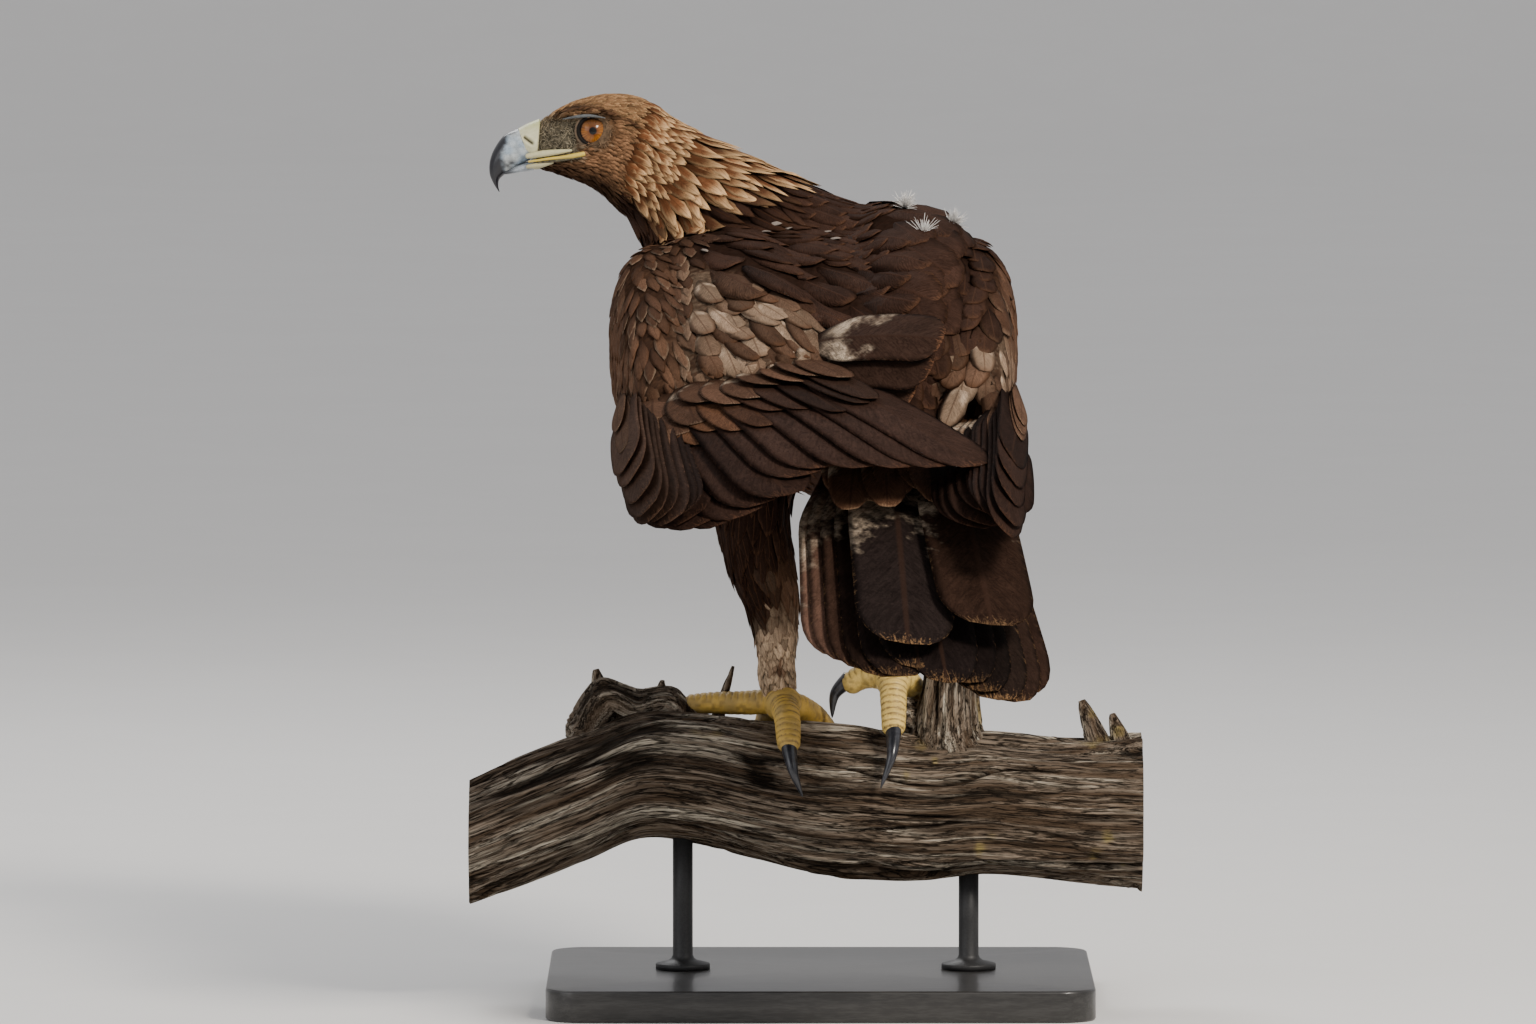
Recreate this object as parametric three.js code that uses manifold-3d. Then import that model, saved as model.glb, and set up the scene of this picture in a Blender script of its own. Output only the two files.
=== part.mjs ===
// A life-size golden eagle that grips a cut length of branch, on a plain display stand.
// Millimetres, +X to the photo's right, +Y away from its camera, +Z up.
// The origin is the middle of the stand base's underside.
import * as THREE from 'three';
import { LoftGeometry } from 'three/addons/geometries/LoftGeometry.js';
import { mergeVertices } from 'three/addons/utils/BufferGeometryUtils.js';
import Module from 'manifold-3d';

const wasm = await Module();
wasm.setup();

const DEG = Math.PI / 180;
const GAP = 0.3; // air kept between touching nodes
const SLACK = 0.1; // more air where the thigh's and the shank's flat ends meet
const VIEW_TILT = 4 * DEG; // how far the photo's camera looks down
const HEADING = 13 * DEG; // how far the body's front is turned to the left of straight away
const STANCE = { x: 18, y: - 5 }; // the point between the feet that the body is measured from
const HEAD_DEPTH = 120; // depth of the head's middle plane, seen in pure profile

const vec = ( x, y, z ) => new THREE.Vector3( x, y, z );

/** A point by its place across, its depth and its height in the camera's tilted picture plane. */
function seen( x, depth, height ) {

	return vec( x, depth, height / Math.cos( VIEW_TILT ) - depth * Math.tan( VIEW_TILT ) );

}

/** A point in the body's own axes: forward, to its right side, and up. */
function bird( forward, side, up ) {

	return vec(
		STANCE.x - forward * Math.sin( HEADING ) + side * Math.cos( HEADING ),
		STANCE.y + forward * Math.cos( HEADING ) + side * Math.sin( HEADING ),
		up
	);

}

/** A seeded source of numbers from 0 to 1. */
function randomFrom( seed ) {

	let state = seed;
	return () => {

		state = ( state * 1664525 + 1013904223 ) % 4294967296;
		return state / 4294967296;

	};

}

/** Catmull-Rom value at t, from 0 to 1, through numbers or vectors. */
function smooth( values, t ) {

	const last = values.length - 1;
	const place = THREE.MathUtils.clamp( t, 0, 1 ) * last;
	const i = Math.min( Math.floor( place ), last - 1 );
	const f = place - i;
	const pick = k => values[ THREE.MathUtils.clamp( k, 0, last ) ];
	const weights = [
		( - f + 2 * f * f - f * f * f ) / 2,
		( 2 - 5 * f * f + 3 * f * f * f ) / 2,
		( f + 4 * f * f - 3 * f * f * f ) / 2,
		( f * f * f - f * f ) / 2
	];
	if ( typeof values[ 0 ] === 'number' ) {

		return weights.reduce( ( sum, w, k ) => sum + w * pick( i - 1 + k ), 0 );

	}

	return weights.reduce( ( sum, w, k ) => sum.addScaledVector( pick( i - 1 + k ), w ), vec( 0, 0, 0 ) );

}

/** A three.js geometry as a manifold-3d solid whose faces point out. */
function solid( geometry ) {

	const loose = geometry.index ? geometry.toNonIndexed() : geometry;
	const bare = new THREE.BufferGeometry().setAttribute( 'position', loose.getAttribute( 'position' ) );
	const merged = mergeVertices( bare, 1e-4 );
	const faces = [];
	for ( let i = 0; i < merged.index.count; i += 3 ) {

		const [ a, b, c ] = [ 0, 1, 2 ].map( k => merged.index.getX( i + k ) );
		if ( a !== b && b !== c && c !== a ) faces.push( [ a, b, c ] );

	}

	const make = list => new wasm.Manifold( new wasm.Mesh( {
		numProp: 3,
		vertProperties: new Float32Array( merged.attributes.position.array ),
		triVerts: new Uint32Array( list.flat() )
	} ) );
	const made = make( faces );
	return made.volume() < 0 ? make( faces.map( ( [ a, b, c ] ) => [ a, c, b ] ) ) : made;

}

/** The largest closed surface of a solid, which fills sealed hollows and drops loose scraps. */
function largest( body ) {

	return body.decompose().reduce( ( best, piece ) => piece.volume() > best.volume() ? piece : best );

}

/** Solids joined into one body. */
function fuse( pieces ) {

	return largest( wasm.Manifold.union( pieces ) );

}

/** A body with its neighbours cut away; they are given already grown by the gap. */
function clear( body, neighbours ) {

	return largest( neighbours.reduce( ( rest, other ) => rest.subtract( other ), body ) );

}

/** A ring of points with two half axes; a squareness over 2 makes it boxier. */
function ring( { at, across, up, square = 2 }, sides ) {

	const bend = value => Math.sign( value ) * Math.abs( value ) ** ( 2 / square );
	return Array.from( { length: sides }, ( _, i ) => {

		const angle = i / sides * 2 * Math.PI;
		return at.clone().addScaledVector( across, bend( Math.cos( angle ) ) )
			.addScaledVector( up, bend( Math.sin( angle ) ) );

	} );

}

/** The row of a loft at t: its middle and half axes, widened by grow. */
function rowAt( stations, t, grow = 0 ) {

	const grown = vector => vector.setLength( vector.length() + grow );
	return {
		at: smooth( stations.map( s => s.at ), t ),
		across: grown( smooth( stations.map( s => s.across ), t ) ),
		up: grown( smooth( stations.map( s => s.up ), t ) ),
		t
	};

}

const CAP_RING = [ 0.62, 0.76 ]; // how far out a rounded cap's own ring stands, and how wide it is

/**
 * A closed body lofted smoothly through stations of { at, across, up }.
 * ends gives how far a rounded cap stands out at the start and at the end, grow widens it all,
 * stops overrides the even steps, and shape moves each point.
 */
function loft( stations, { sides, steps, square = 2, ends = [ 0, 0 ], grow = 0, stops, shape } ) {

	const places = stops ?? Array.from( { length: steps + 1 }, ( _, i ) => i / steps );
	const rows = places.map( t => ( { ...rowAt( stations, t, grow ), square } ) );
	const cap = ( row, next, reach ) => {

		const out = row.at.clone().sub( next.at ).setLength( reach > 0 ? reach + grow : 0 );
		const rings = reach > 0 ? [ CAP_RING ] : [];
		return [ ...rings, [ 1, 0 ] ].map( ( [ far, wide ] ) => ( {
			at: row.at.clone().addScaledVector( out, far ),
			across: row.across.clone().multiplyScalar( wide ),
			up: row.up.clone().multiplyScalar( wide ),
			square,
			t: row.t
		} ) );

	};

	const start = cap( rows[ 0 ], rows[ 1 ], ends[ 0 ] ).reverse();
	const finish = cap( rows.at( - 1 ), rows.at( - 2 ), ends[ 1 ] );
	const sections = [ ...start, ...rows, ...finish ].map( row => {

		const points = ring( row, sides );
		return shape ? points.map( ( p, i ) => shape( p, row, i / sides * 2 * Math.PI ) ) : points;

	} );
	return solid( new LoftGeometry( sections ) );

}

/** A point of a loft's surface and the way it faces, at t along it and an angle in degrees round it. */
function surface( stations, t, angle, square = 2 ) {

	const spot = ( u, turn ) => {

		const { at, across, up } = rowAt( stations, u );
		const bend = value => Math.sign( value ) * Math.abs( value ) ** ( 2 / square );
		return at.addScaledVector( across, bend( Math.cos( turn * DEG ) ) )
			.addScaledVector( up, bend( Math.sin( turn * DEG ) ) );

	};

	const step = 0.01;
	const point = spot( t, angle );
	const forward = spot( Math.min( t + step, 1 ), angle ).sub( spot( Math.max( t - step, 0 ), angle ) );
	const round = spot( t, angle + 2 ).sub( spot( t, angle - 2 ) );
	const face = forward.cross( round ).normalize();
	if ( face.dot( point.clone().sub( rowAt( stations, t ).at ) ) < 0 ) face.negate();
	return { point, face };

}

/** Stations along a row of [ point, half width, half height ], square to its run; hint counts as up. */
function along( list, hint = vec( 0, 0, 1 ) ) {

	return list.map( ( [ at, halfWidth, halfHeight ], i ) => {

		const before = list[ Math.max( i - 1, 0 ) ][ 0 ];
		const after = list[ Math.min( i + 1, list.length - 1 ) ][ 0 ];
		const run = after.clone().sub( before ).normalize();
		const across = run.clone().cross( hint ).normalize();
		const up = across.clone().cross( run ).normalize();
		return { at, across: across.multiplyScalar( halfWidth ), up: up.multiplyScalar( halfHeight ) };

	} );

}

const LIMB_CAP = 0.8; // how far a limb's rounded end stands out, as a share of its radius

/** A round limb through [ point, radius ] pairs, with rounded ends. */
function limb( list, { sides, steps, hint = vec( 0, 0, 1 ), grow = 0, ends, stops, shape } ) {

	const stations = along( list.map( ( [ at, radius ] ) => [ at, radius, radius ] ), hint );
	const reach = [ list[ 0 ][ 1 ] * LIMB_CAP, list.at( - 1 )[ 1 ] * LIMB_CAP ];
	return loft( stations, { sides, steps, grow, ends: ends ?? reach, stops, shape } );

}

const VANE_THICK = 0.8;
const COVERT = { lift: 5.5, width: 0.92, least: 0.95, more: 0.1 }; // against its own flight feather
const SHINGLE = { jitter: 3, stretch: 0.04, stagger: 0.6, rise: 0.55, leastArch: 0.5, camber: 0.1 };

// A vane's outline: how far along each row stands, and how much of the full width it has.
// A hackle has a shaft line down its middle, and the others are a single strip.
const FORMS = {
	rectrix: { columns: [ - 1, 1 ], rows: [ [ 0, 0.4 ], [ 0.5, 0.8 ], [ 0.9, 0.96 ], [ 1, 0.5 ] ] },
	flight: {
		columns: [ - 1, 1 ],
		rows: [ [ 0, 0.4 ], [ 0.2, 0.7 ], [ 0.5, 0.96 ], [ 0.86, 0.9 ], [ 1, 0.34 ] ]
	},
	covert: { columns: [ - 1, 1 ], rows: [ [ 0, 0.5 ], [ 0.45, 0.98 ], [ 0.84, 0.9 ], [ 1, 0.36 ] ] },
	small: { columns: [ - 1, 1 ], rows: [ [ 0, 0.6 ], [ 0.66, 1 ], [ 1, 0.4 ] ] },
	hackle: { columns: [ - 1, 0, 1 ], rows: [ [ 0, 0.5 ], [ 0.45, 1 ], [ 1, 0.14 ] ] }
};

/**
 * One feather as a thin vane from its root to its tip. faceRoot and faceTip say where its upper
 * face looks, arch lifts its middle, camber drops its edges, and roll tips it about its run.
 * Both faces are split into triangles alike, so that they can't cross.
 */
function vane( { root, tip, faceRoot, faceTip = faceRoot, width, arch, camber = 0.12, roll = 0,
	form = 'flight', grow = 0 } ) {

	const { columns, rows } = FORMS[ form ];
	const run = tip.clone().sub( root ).normalize();
	const from = root.clone().addScaledVector( run, - grow );
	const to = tip.clone().addScaledVector( run, grow );
	const positions = [];
	for ( const [ t, wide ] of rows ) {

		const face = faceRoot.clone().lerp( faceTip, t );
		face.addScaledVector( run, - face.dot( run ) ).normalize().applyAxisAngle( run, roll );
		const side = run.clone().cross( face );
		const half = wide * width / 2 + grow;
		const middle = from.clone().lerp( to, t ).addScaledVector( face, arch * 4 * t * ( 1 - t ) );
		for ( const layer of [ 1, - 1 ] ) {

			for ( const edge of columns ) {

				const lift = layer * ( VANE_THICK / 2 + grow ) - Math.abs( edge ) * half * camber;
				const point = middle.clone().addScaledVector( side, edge * half );
				positions.push( point.addScaledVector( face, lift ) );

			}

		}

	}

	const across = columns.length;
	const at = ( row, layer, column ) => ( row * 2 + layer ) * across + column;
	const faces = [];
	const quad = ( a, b, c, d ) => faces.push( a, b, c, a, c, d );
	const last = across - 1;
	const end = rows.length - 1;
	for ( let row = 0; row < end; row ++ ) {

		for ( let column = 0; column < last; column ++ ) {

			// The same diagonal on both faces.
			const [ a, b, c, d ] = [ at( row, 0, column ), at( row, 0, column + 1 ),
				at( row + 1, 0, column + 1 ), at( row + 1, 0, column ) ];
			const [ e, f, g, h ] = [ a, b, c, d ].map( i => i + across );
			faces.push( a, b, c, a, c, d, e, g, f, e, h, g );

		}

		quad( at( row, 1, 0 ), at( row, 0, 0 ), at( row + 1, 0, 0 ), at( row + 1, 1, 0 ) );
		quad( at( row, 0, last ), at( row, 1, last ), at( row + 1, 1, last ), at( row + 1, 0, last ) );

	}

	for ( let column = 0; column < last; column ++ ) {

		quad( at( 0, 0, column ), at( 0, 1, column ), at( 0, 1, column + 1 ), at( 0, 0, column + 1 ) );
		quad( at( end, 1, column ), at( end, 0, column ), at( end, 0, column + 1 ), at( end, 1, column + 1 ) );

	}

	const geometry = new THREE.BufferGeometry().setFromPoints( positions );
	geometry.setIndex( faces );
	return solid( geometry );

}

const LENGTH_VARY = 0.02; // how much the lengths of one tier's feathers differ, as real ones do

/**
 * A tier of overlapping flight feathers. roots, tips and faces are curves from the outer end to the
 * inner one, each given by a few points, and roll lays each one's edge over the next. A covert lies
 * over the first part of each feather, as far as coverts says.
 */
function tier( set, grow = 0 ) {

	const { count, roots, tips, faces, width, arch, seed, roll = 0, coverts = 0, ...rest } = set;
	const random = randomFrom( seed );
	return Array.from( { length: count }, ( _, i ) => {

		const t = i / ( count - 1 );
		const root = smooth( roots, t );
		const tip = smooth( tips, t );
		tip.addScaledVector( tip.clone().sub( root ), ( random() - 0.5 ) * 2 * LENGTH_VARY );
		const faceRoot = smooth( faces, t ).normalize();
		const feather = { root, tip, faceRoot, width, arch, roll: roll * DEG, ...rest, grow };
		const end = coverts * ( COVERT.least + random() * COVERT.more );
		const lift = faceRoot.clone().multiplyScalar( COVERT.lift );
		const rise = arch * 4 * end * ( 1 - end );
		const covert = () => vane( {
			...feather,
			form: 'covert',
			camber: 0,
			root: root.clone().add( lift ),
			tip: root.clone().lerp( tip, end ).addScaledVector( faceRoot, rise ).add( lift ),
			arch: arch * end * end + SHINGLE.leastArch,
			width: width * COVERT.width
		} );
		return coverts > 0 ? [ vane( feather ), covert() ] : [ vane( feather ) ];

	} ).flat();

}

/**
 * Rows of feathers that lie along a loft's surface, like shingles. Each row has its start and end
 * along the loft, its first and last angle round it, a count, a width and how far its tips stand
 * off. Every second tip stands off by the stagger too.
 */
function shingles( stations, rows, { square = 2, sink = 6, form = 'covert', seed, roll = 8 }, grow = 0 ) {

	const { jitter, stretch, stagger, rise, leastArch, camber } = SHINGLE;
	const random = randomFrom( seed );
	return rows.flatMap( ( { from, to, start, end, count, width, lift = 2.5 } ) =>
		Array.from( { length: count }, ( _, i ) => {

			const place = i / ( count - 1 );
			const angle = start + ( end - start ) * place + ( random() - 0.5 ) * jitter;
			const more = ( random() - 0.5 ) * stretch;
			const foot = surface( stations, from, angle, square );
			const middle = surface( stations, ( from + to + more ) / 2, angle, square );
			const point = surface( stations, Math.min( to + more, 1 ), angle, square );
			const root = foot.point.addScaledVector( foot.face, - sink );
			const tip = point.point.addScaledVector( point.face, lift + ( i % 2 ) * stagger );
			const chord = root.clone().lerp( tip, 0.5 );
			const arch = middle.point.clone().sub( chord ).dot( middle.face ) + lift * rise;
			return vane( {
				root, tip, faceRoot: foot.face, faceTip: point.face, width, form, grow,
				arch: Math.max( arch, leastArch ), camber, roll: roll * DEG
			} );

		} ) );

}

// Colours of the visible materials, as linear guesses from the photo.
const COLOURS = {
	plumage: [ 0x4a3222, 0.85 ],
	dark_plumage: [ 0x2a1c16, 0.8 ],
	hackle: [ 0xa9763f, 0.85 ],
	tarsus: [ 0xb59a78, 0.9 ],
	horn: [ 0x23252b, 0.35 ],
	bill: [ 0x8f9aa6, 0.4 ],
	skin: [ 0xd9b33c, 0.55 ],
	eye: [ 0xa7561a, 0.08 ],
	wood: [ 0x8a7a68, 0.9 ],
	stand: [ 0x2b2b2d, 0.45 ]
};

const part = new THREE.Group();

/** Adds a solid to the part as a named mesh with its own material. */
function add( name, body, colour ) {

	const mesh = body.getMesh();
	const geometry = new THREE.BufferGeometry();
	geometry.setAttribute( 'position', new THREE.BufferAttribute( mesh.vertProperties, mesh.numProp ) );
	geometry.setIndex( new THREE.BufferAttribute( mesh.triVerts, 1 ) );
	const [ color, roughness ] = COLOURS[ colour ];
	const material = new THREE.MeshStandardMaterial( { color, roughness, metalness: 0 } );
	const node = new THREE.Mesh( geometry, material );
	node.name = name;
	part.add( node );

}

// The stand: a flat base with rounded corners, and two rods on flanges.

const BASE = { width: 380, depth: 300, height: 22, corner: 26, bevel: 2 };
const ROD = {
	radius: 7, flangeRadius: 19, flangeHeight: 6, fillet: 3, sides: 12,
	places: [ vec( - 96, 0, 0 ), vec( 104, 0, 0 ) ]
};

function baseSolid() {

	const { width, depth, height, corner, bevel } = BASE;
	const [ w, d ] = [ width / 2 - bevel, depth / 2 - bevel ];
	const outline = new THREE.Shape();
	outline.moveTo( - w + corner, - d );
	outline.lineTo( w - corner, - d );
	outline.absarc( w - corner, - d + corner, corner, - Math.PI / 2, 0 );
	outline.lineTo( w, d - corner );
	outline.absarc( w - corner, d - corner, corner, 0, Math.PI / 2 );
	outline.lineTo( - w + corner, d );
	outline.absarc( - w + corner, d - corner, corner, Math.PI / 2, Math.PI );
	outline.lineTo( - w, - d + corner );
	outline.absarc( - w + corner, - d + corner, corner, Math.PI, Math.PI * 1.5 );
	const geometry = new THREE.ExtrudeGeometry( outline, {
		depth: height - 2 * bevel, bevelThickness: bevel, bevelSize: bevel, bevelSegments: 1, curveSegments: 4
	} );
	return solid( geometry.translate( 0, 0, bevel ) );

}

function rodSolid( place, top ) {

	const { radius, flangeRadius, flangeHeight, fillet, sides } = ROD;
	const foot = BASE.height + GAP;
	const profile = [
		new THREE.Vector2( 0, foot ),
		new THREE.Vector2( flangeRadius, foot ),
		new THREE.Vector2( flangeRadius, foot + flangeHeight * 0.6 ),
		new THREE.Vector2( radius + fillet, foot + flangeHeight ),
		new THREE.Vector2( radius, foot + flangeHeight + fillet ),
		new THREE.Vector2( radius, top ),
		new THREE.Vector2( 0, top )
	];
	const geometry = new THREE.LatheGeometry( profile, sides );
	return solid( geometry.rotateX( Math.PI / 2 ).translate( place.x, place.y, 0 ) );

}

// The perch: a weathered length of branch with a knob, a broken stub and splinters.

const LOG_DEPTH = 46; // half the log's size away from the camera
const LOG = [ // place along, height of the middle, half height
	[ - 245, 110, 43 ], [ - 205, 126, 45 ], [ - 165, 142, 45 ], [ - 125, 158, 43 ], [ - 85, 157, 45 ],
	[ - 45, 149, 49 ], [ - 5, 142, 53 ], [ 35, 139, 53 ], [ 75, 136, 51 ], [ 115, 138, 49 ],
	[ 155, 135, 49 ], [ 190, 133, 50 ], [ 225, 132, 54 ]
];

/** The log's middle height and half height at a place between its ends. */
function logAt( x ) {

	const i = LOG.findIndex( ( [ place ] ) => place >= x );
	const [ a, b ] = [ LOG[ i - 1 ], LOG[ i ] ];
	const f = ( x - a[ 0 ] ) / ( b[ 0 ] - a[ 0 ] );
	return { middle: a[ 1 ] + ( b[ 1 ] - a[ 1 ] ) * f, half: a[ 2 ] + ( b[ 2 ] - a[ 2 ] ) * f };

}

/** A point over the log's surface: angle 0 is its crest, positive angles go to the far side. */
function onLog( x, angle, above ) {

	const { middle, half } = logAt( x );
	const depth = ( LOG_DEPTH + above ) * Math.sin( angle * DEG );
	return seen( x, depth, middle + ( half + above ) * Math.cos( angle * DEG ) );

}

function logSolid( grow = 0 ) {

	const stations = LOG.map( ( [ x, middle, half ] ) => ( {
		at: seen( x, 0, middle ), across: vec( 0, LOG_DEPTH, 0 ), up: vec( 0, 0, half )
	} ) );
	const furrow = ( p, row, angle ) => {

		const wide = 0.03 * Math.sin( 5 * angle + row.t * 9 );
		const fine = 0.025 * Math.sin( 8 * angle - row.t * 14 );
		return row.at.clone().lerp( p, 1 + wide + fine );

	};
	return loft( stations, { sides: 15, steps: 11, grow, shape: furrow } );

}

const KNOB = [ [ seen( - 166, 12, 188 ), 15 ], [ seen( - 150, 16, 210 ), 17 ], [ seen( - 128, 17, 204 ), 15 ],
	[ seen( - 106, 16, 208 ), 12 ], [ seen( - 92, 14, 196 ), 9 ] ];
const STUB = [ [ seen( 92, 2, 168 ), 34 ], [ seen( 89, 3, 190 ), 25 ], [ seen( 90, 5, 228 ), 21 ] ];
const SPUR = [ [ seen( 92, 14, 184 ), 20 ], [ seen( 74, 12, 193 ), 17 ], [ seen( 57, 9, 202 ), 11 ] ];
const SPLINTERS = [ // foot, point, radius at the foot
	[ seen( - 152, 18, 208 ), seen( - 157, 18, 233 ), 10 ],
	[ seen( - 112, 18, 205 ), seen( - 110, 20, 225 ), 8 ],
	[ seen( - 72, 16, 196 ), seen( - 60, 20, 236 ), 6 ],
	[ seen( 196, 0, 176 ), seen( 182, 4, 212 ), 11 ],
	[ seen( 212, 0, 176 ), seen( 204, 6, 202 ), 10 ],
	[ seen( 97, 6, 215 ), seen( 110, 8, 236 ), 9 ]
];

function perchSolid( grow = 0 ) {

	const splinters = SPLINTERS.map( ( [ foot, point, radius ] ) => limb(
		[ [ foot, radius ], [ foot.clone().lerp( point, 0.6 ), radius * 0.6 ], [ point, 1.2 ] ],
		{ sides: 5, steps: 2, hint: vec( 0, 1, 0 ), grow, ends: [ 1, 0 ] } ) );
	return fuse( [
		logSolid( grow ),
		limb( KNOB, { sides: 7, steps: 5, grow } ),
		limb( STUB, { sides: 9, steps: 3, hint: vec( 0, 1, 0 ), grow, ends: [ 2, 0 ] } ),
		limb( SPUR, { sides: 8, steps: 3, grow } ),
		...splinters
	] );

}

// The body: torso, neck and head.

const TORSO = [ // forward, middle height, half width, half height
	[ 158, 496, 42, 44 ], [ 135, 486, 74, 68 ], [ 90, 466, 92, 82 ], [ 30, 444, 95, 84 ],
	[ - 30, 424, 88, 76 ], [ - 90, 408, 68, 56 ], [ - 135, 398, 46, 34 ]
];

const TORSO_SQUARE = 2.2;
const TORSO_STATIONS = along( TORSO.map( ( [ forward, up, w, h ] ) => [ bird( forward, 0, up ), w, h ] ) );

function torsoSolid( grow = 0 ) {

	return loft( TORSO_STATIONS, { sides: 14, steps: 7, square: TORSO_SQUARE, ends: CAPS.torso, grow } );

}

/** A station of the head or neck between its upper and lower outline, seen in profile. */
function profile( [ topX, topZ ], [ lowX, lowZ ], halfWidth, depth = HEAD_DEPTH ) {

	const top = seen( topX, depth, topZ );
	const low = seen( lowX, depth, lowZ );
	return {
		at: top.clone().lerp( low, 0.5 ),
		across: vec( 0, - halfWidth, 0 ),
		up: top.clone().sub( low ).multiplyScalar( 0.5 )
	};

}

const HEAD_SQUARE = 2.2;
const HEAD = [
	profile( [ - 198, 618.5 ], [ - 201, 583 ], 12 ),
	profile( [ - 187, 626 ], [ - 190, 581 ], 17 ),
	profile( [ - 174, 632.5 ], [ - 179, 577.5 ], 22.5 ),
	profile( [ - 160, 636.5 ], [ - 168, 573.5 ], 27.5 ),
	profile( [ - 145, 638.2 ], [ - 158, 568.5 ], 31.5 ),
	profile( [ - 128, 636 ], [ - 149, 561 ], 34.5 ),
	profile( [ - 112, 628.5 ], [ - 140, 551.5 ], 36.5 )
];
const NECK = [
	HEAD.at( - 1 ),
	profile( [ - 95, 618.5 ], [ - 133, 541.5 ], 39, 122 ),
	profile( [ - 76, 608 ], [ - 127, 531 ], 44, 124 ),
	profile( [ - 52, 596 ], [ - 117, 513 ], 53, 122 ),
	profile( [ - 22, 580 ], [ - 98, 486 ], 64, 114 ),
	profile( [ 8, 560 ], [ - 66, 458 ], 72, 100 )
];

function neckCore( grow = 0 ) {

	return loft( NECK, { sides: 14, steps: 6, grow } );

}

/** The skull, with its rear face backed off from the neck by the gap. */
function skullSolid() {

	const rear = HEAD.at( - 1 );
	const stations = [ ...HEAD.slice( 0, - 1 ), { ...rear, at: rear.at.clone().add( vec( - GAP, 0, 0 ) ) } ];
	return loft( stations, { sides: 14, steps: 8, square: HEAD_SQUARE, shape: socket } );

}

const BILL = [
	profile( [ - 212.7, 612.5 ], [ - 204, 590.5 ], 10.5 ),
	profile( [ - 222.7, 607.5 ], [ - 211.5, 587 ], 9.4 ),
	profile( [ - 229.4, 598.6 ], [ - 217.5, 583.6 ], 7.6 ),
	profile( [ - 232.8, 589.5 ], [ - 222.2, 580 ], 5.8 ),
	profile( [ - 233, 580.5 ], [ - 226, 576.4 ], 3.9 ),
	profile( [ - 230.3, 573.5 ], [ - 226.8, 572 ], 2.1 ),
	profile( [ - 226.6, 567.9 ], [ - 225.9, 567.7 ], 0.5 )
];
const LOWER_BILL = [
	profile( [ - 201, 590.5 ], [ - 202, 582.5 ], 9 ),
	profile( [ - 210, 588 ], [ - 210, 581.2 ], 7.8 ),
	profile( [ - 218, 584.5 ], [ - 218, 580.2 ], 5.8 ),
	profile( [ - 225, 581.2 ], [ - 225, 579.6 ], 3 )
];
const CERE = [
	profile( [ - 198, 619.2 ], [ - 200.5, 587.5 ], 12.6 ),
	profile( [ - 206, 616 ], [ - 202.5, 588.5 ], 11.8 ),
	BILL[ 0 ]
];

// Each eye is a ball, set in a socket.
const EYE = { x: - 159.6, height: 611.9, radius: 12, side: 18 };
const GAPE_FOOT = 6; // how far forward the gape's fleshy edge runs into the cere
const SOCKET = { reach: 17, depth: 2.6 };
const LID = { radius: 9.3, tube: 1.5, stretch: 1.12, out: 7.6 }; // out is from the eye's centre
const BROW = [ [ 0.16, 38, 1.8 ], [ 0.3, 36, 3 ], [ 0.48, 34, 3.2 ], [ 0.64, 30, 2 ] ]; // along, round, radius
const GAPE = [ [ 0, - 31 ], [ 0.16, - 29 ], [ 0.32, - 26 ], [ 0.47, - 23 ] ]; // along the head, round it
const GAPE_RADIUS = 1.9;
const NOSTRIL = { from: [ - 207.6, 606 ], to: [ - 203.4, 603 ], out: 12, radius: 1.5 };

function eyeSolid( side, grow = 0 ) {

	const geometry = new THREE.SphereGeometry( EYE.radius + grow, 12, 7 );
	const place = seen( EYE.x, HEAD_DEPTH, EYE.height );
	return solid( geometry.translate( place.x, place.y + side * EYE.side, place.z ) );

}

/** Dents the head round each eye. */
function socket( point ) {

	const eye = seen( EYE.x, HEAD_DEPTH, EYE.height );
	const away = Math.hypot( point.x - eye.x, point.z - eye.z ) / SOCKET.reach;
	const side = Math.sign( point.y - HEAD_DEPTH );
	return away < 1 ? point.clone().add( vec( 0, - side * SOCKET.depth * ( 1 - away * away ), 0 ) ) : point;

}

/** A point of the head's surface on the near side (-1) or the far side (1). */
function onHead( t, angle, side ) {

	return surface( HEAD, t, side < 0 ? angle : 180 - angle, HEAD_SQUARE ).point;

}

function browSolid( side ) {

	const ridge = BROW.map( ( [ t, angle, radius ] ) => [ onHead( t, angle, side ), radius ] );
	return limb( ridge, { sides: 6, steps: 4 } );

}

function lidSolid( side ) {

	const { radius, tube, stretch, out } = LID;
	const geometry = new THREE.TorusGeometry( radius, tube, 4, 11 ).scale( stretch, 1, 1 );
	geometry.rotateX( Math.PI / 2 );
	const place = seen( EYE.x, HEAD_DEPTH, EYE.height );
	return solid( geometry.translate( place.x, place.y + side * ( EYE.side + out ), place.z ) );

}

/** The fleshy edge of the mouth behind the bill. */
function gapeSolid( side, grow = 0 ) {

	const taper = [ 1, 1, 0.9, 0.6 ];
	const edge = GAPE.map( ( [ t, angle ], i ) => [ onHead( t, angle, side ), GAPE_RADIUS * taper[ i ] ] );
	const foot = edge[ 0 ][ 0 ].clone().add( vec( - GAPE_FOOT, - side * 4, 0 ) );
	return limb( [ [ foot, GAPE_RADIUS ], ...edge ], { sides: 5, steps: 3, grow } );

}

function nostrilSolid( side ) {

	const ends = [ NOSTRIL.from, NOSTRIL.to ].map( ( [ x, height ] ) =>
		[ seen( x, HEAD_DEPTH + side * NOSTRIL.out, height ), NOSTRIL.radius ] );
	return limb( ends, { sides: 6, steps: 1, hint: vec( 0, 1, 0 ) } );

}

function billSolid( grow = 0 ) {

	return loft( BILL, { sides: 14, steps: 8, grow, ends: [ grow, 0 ] } );

}

function lowerBillSolid( grow = 0 ) {

	return loft( LOWER_BILL, { sides: 10, steps: 4, grow } );

}

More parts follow.
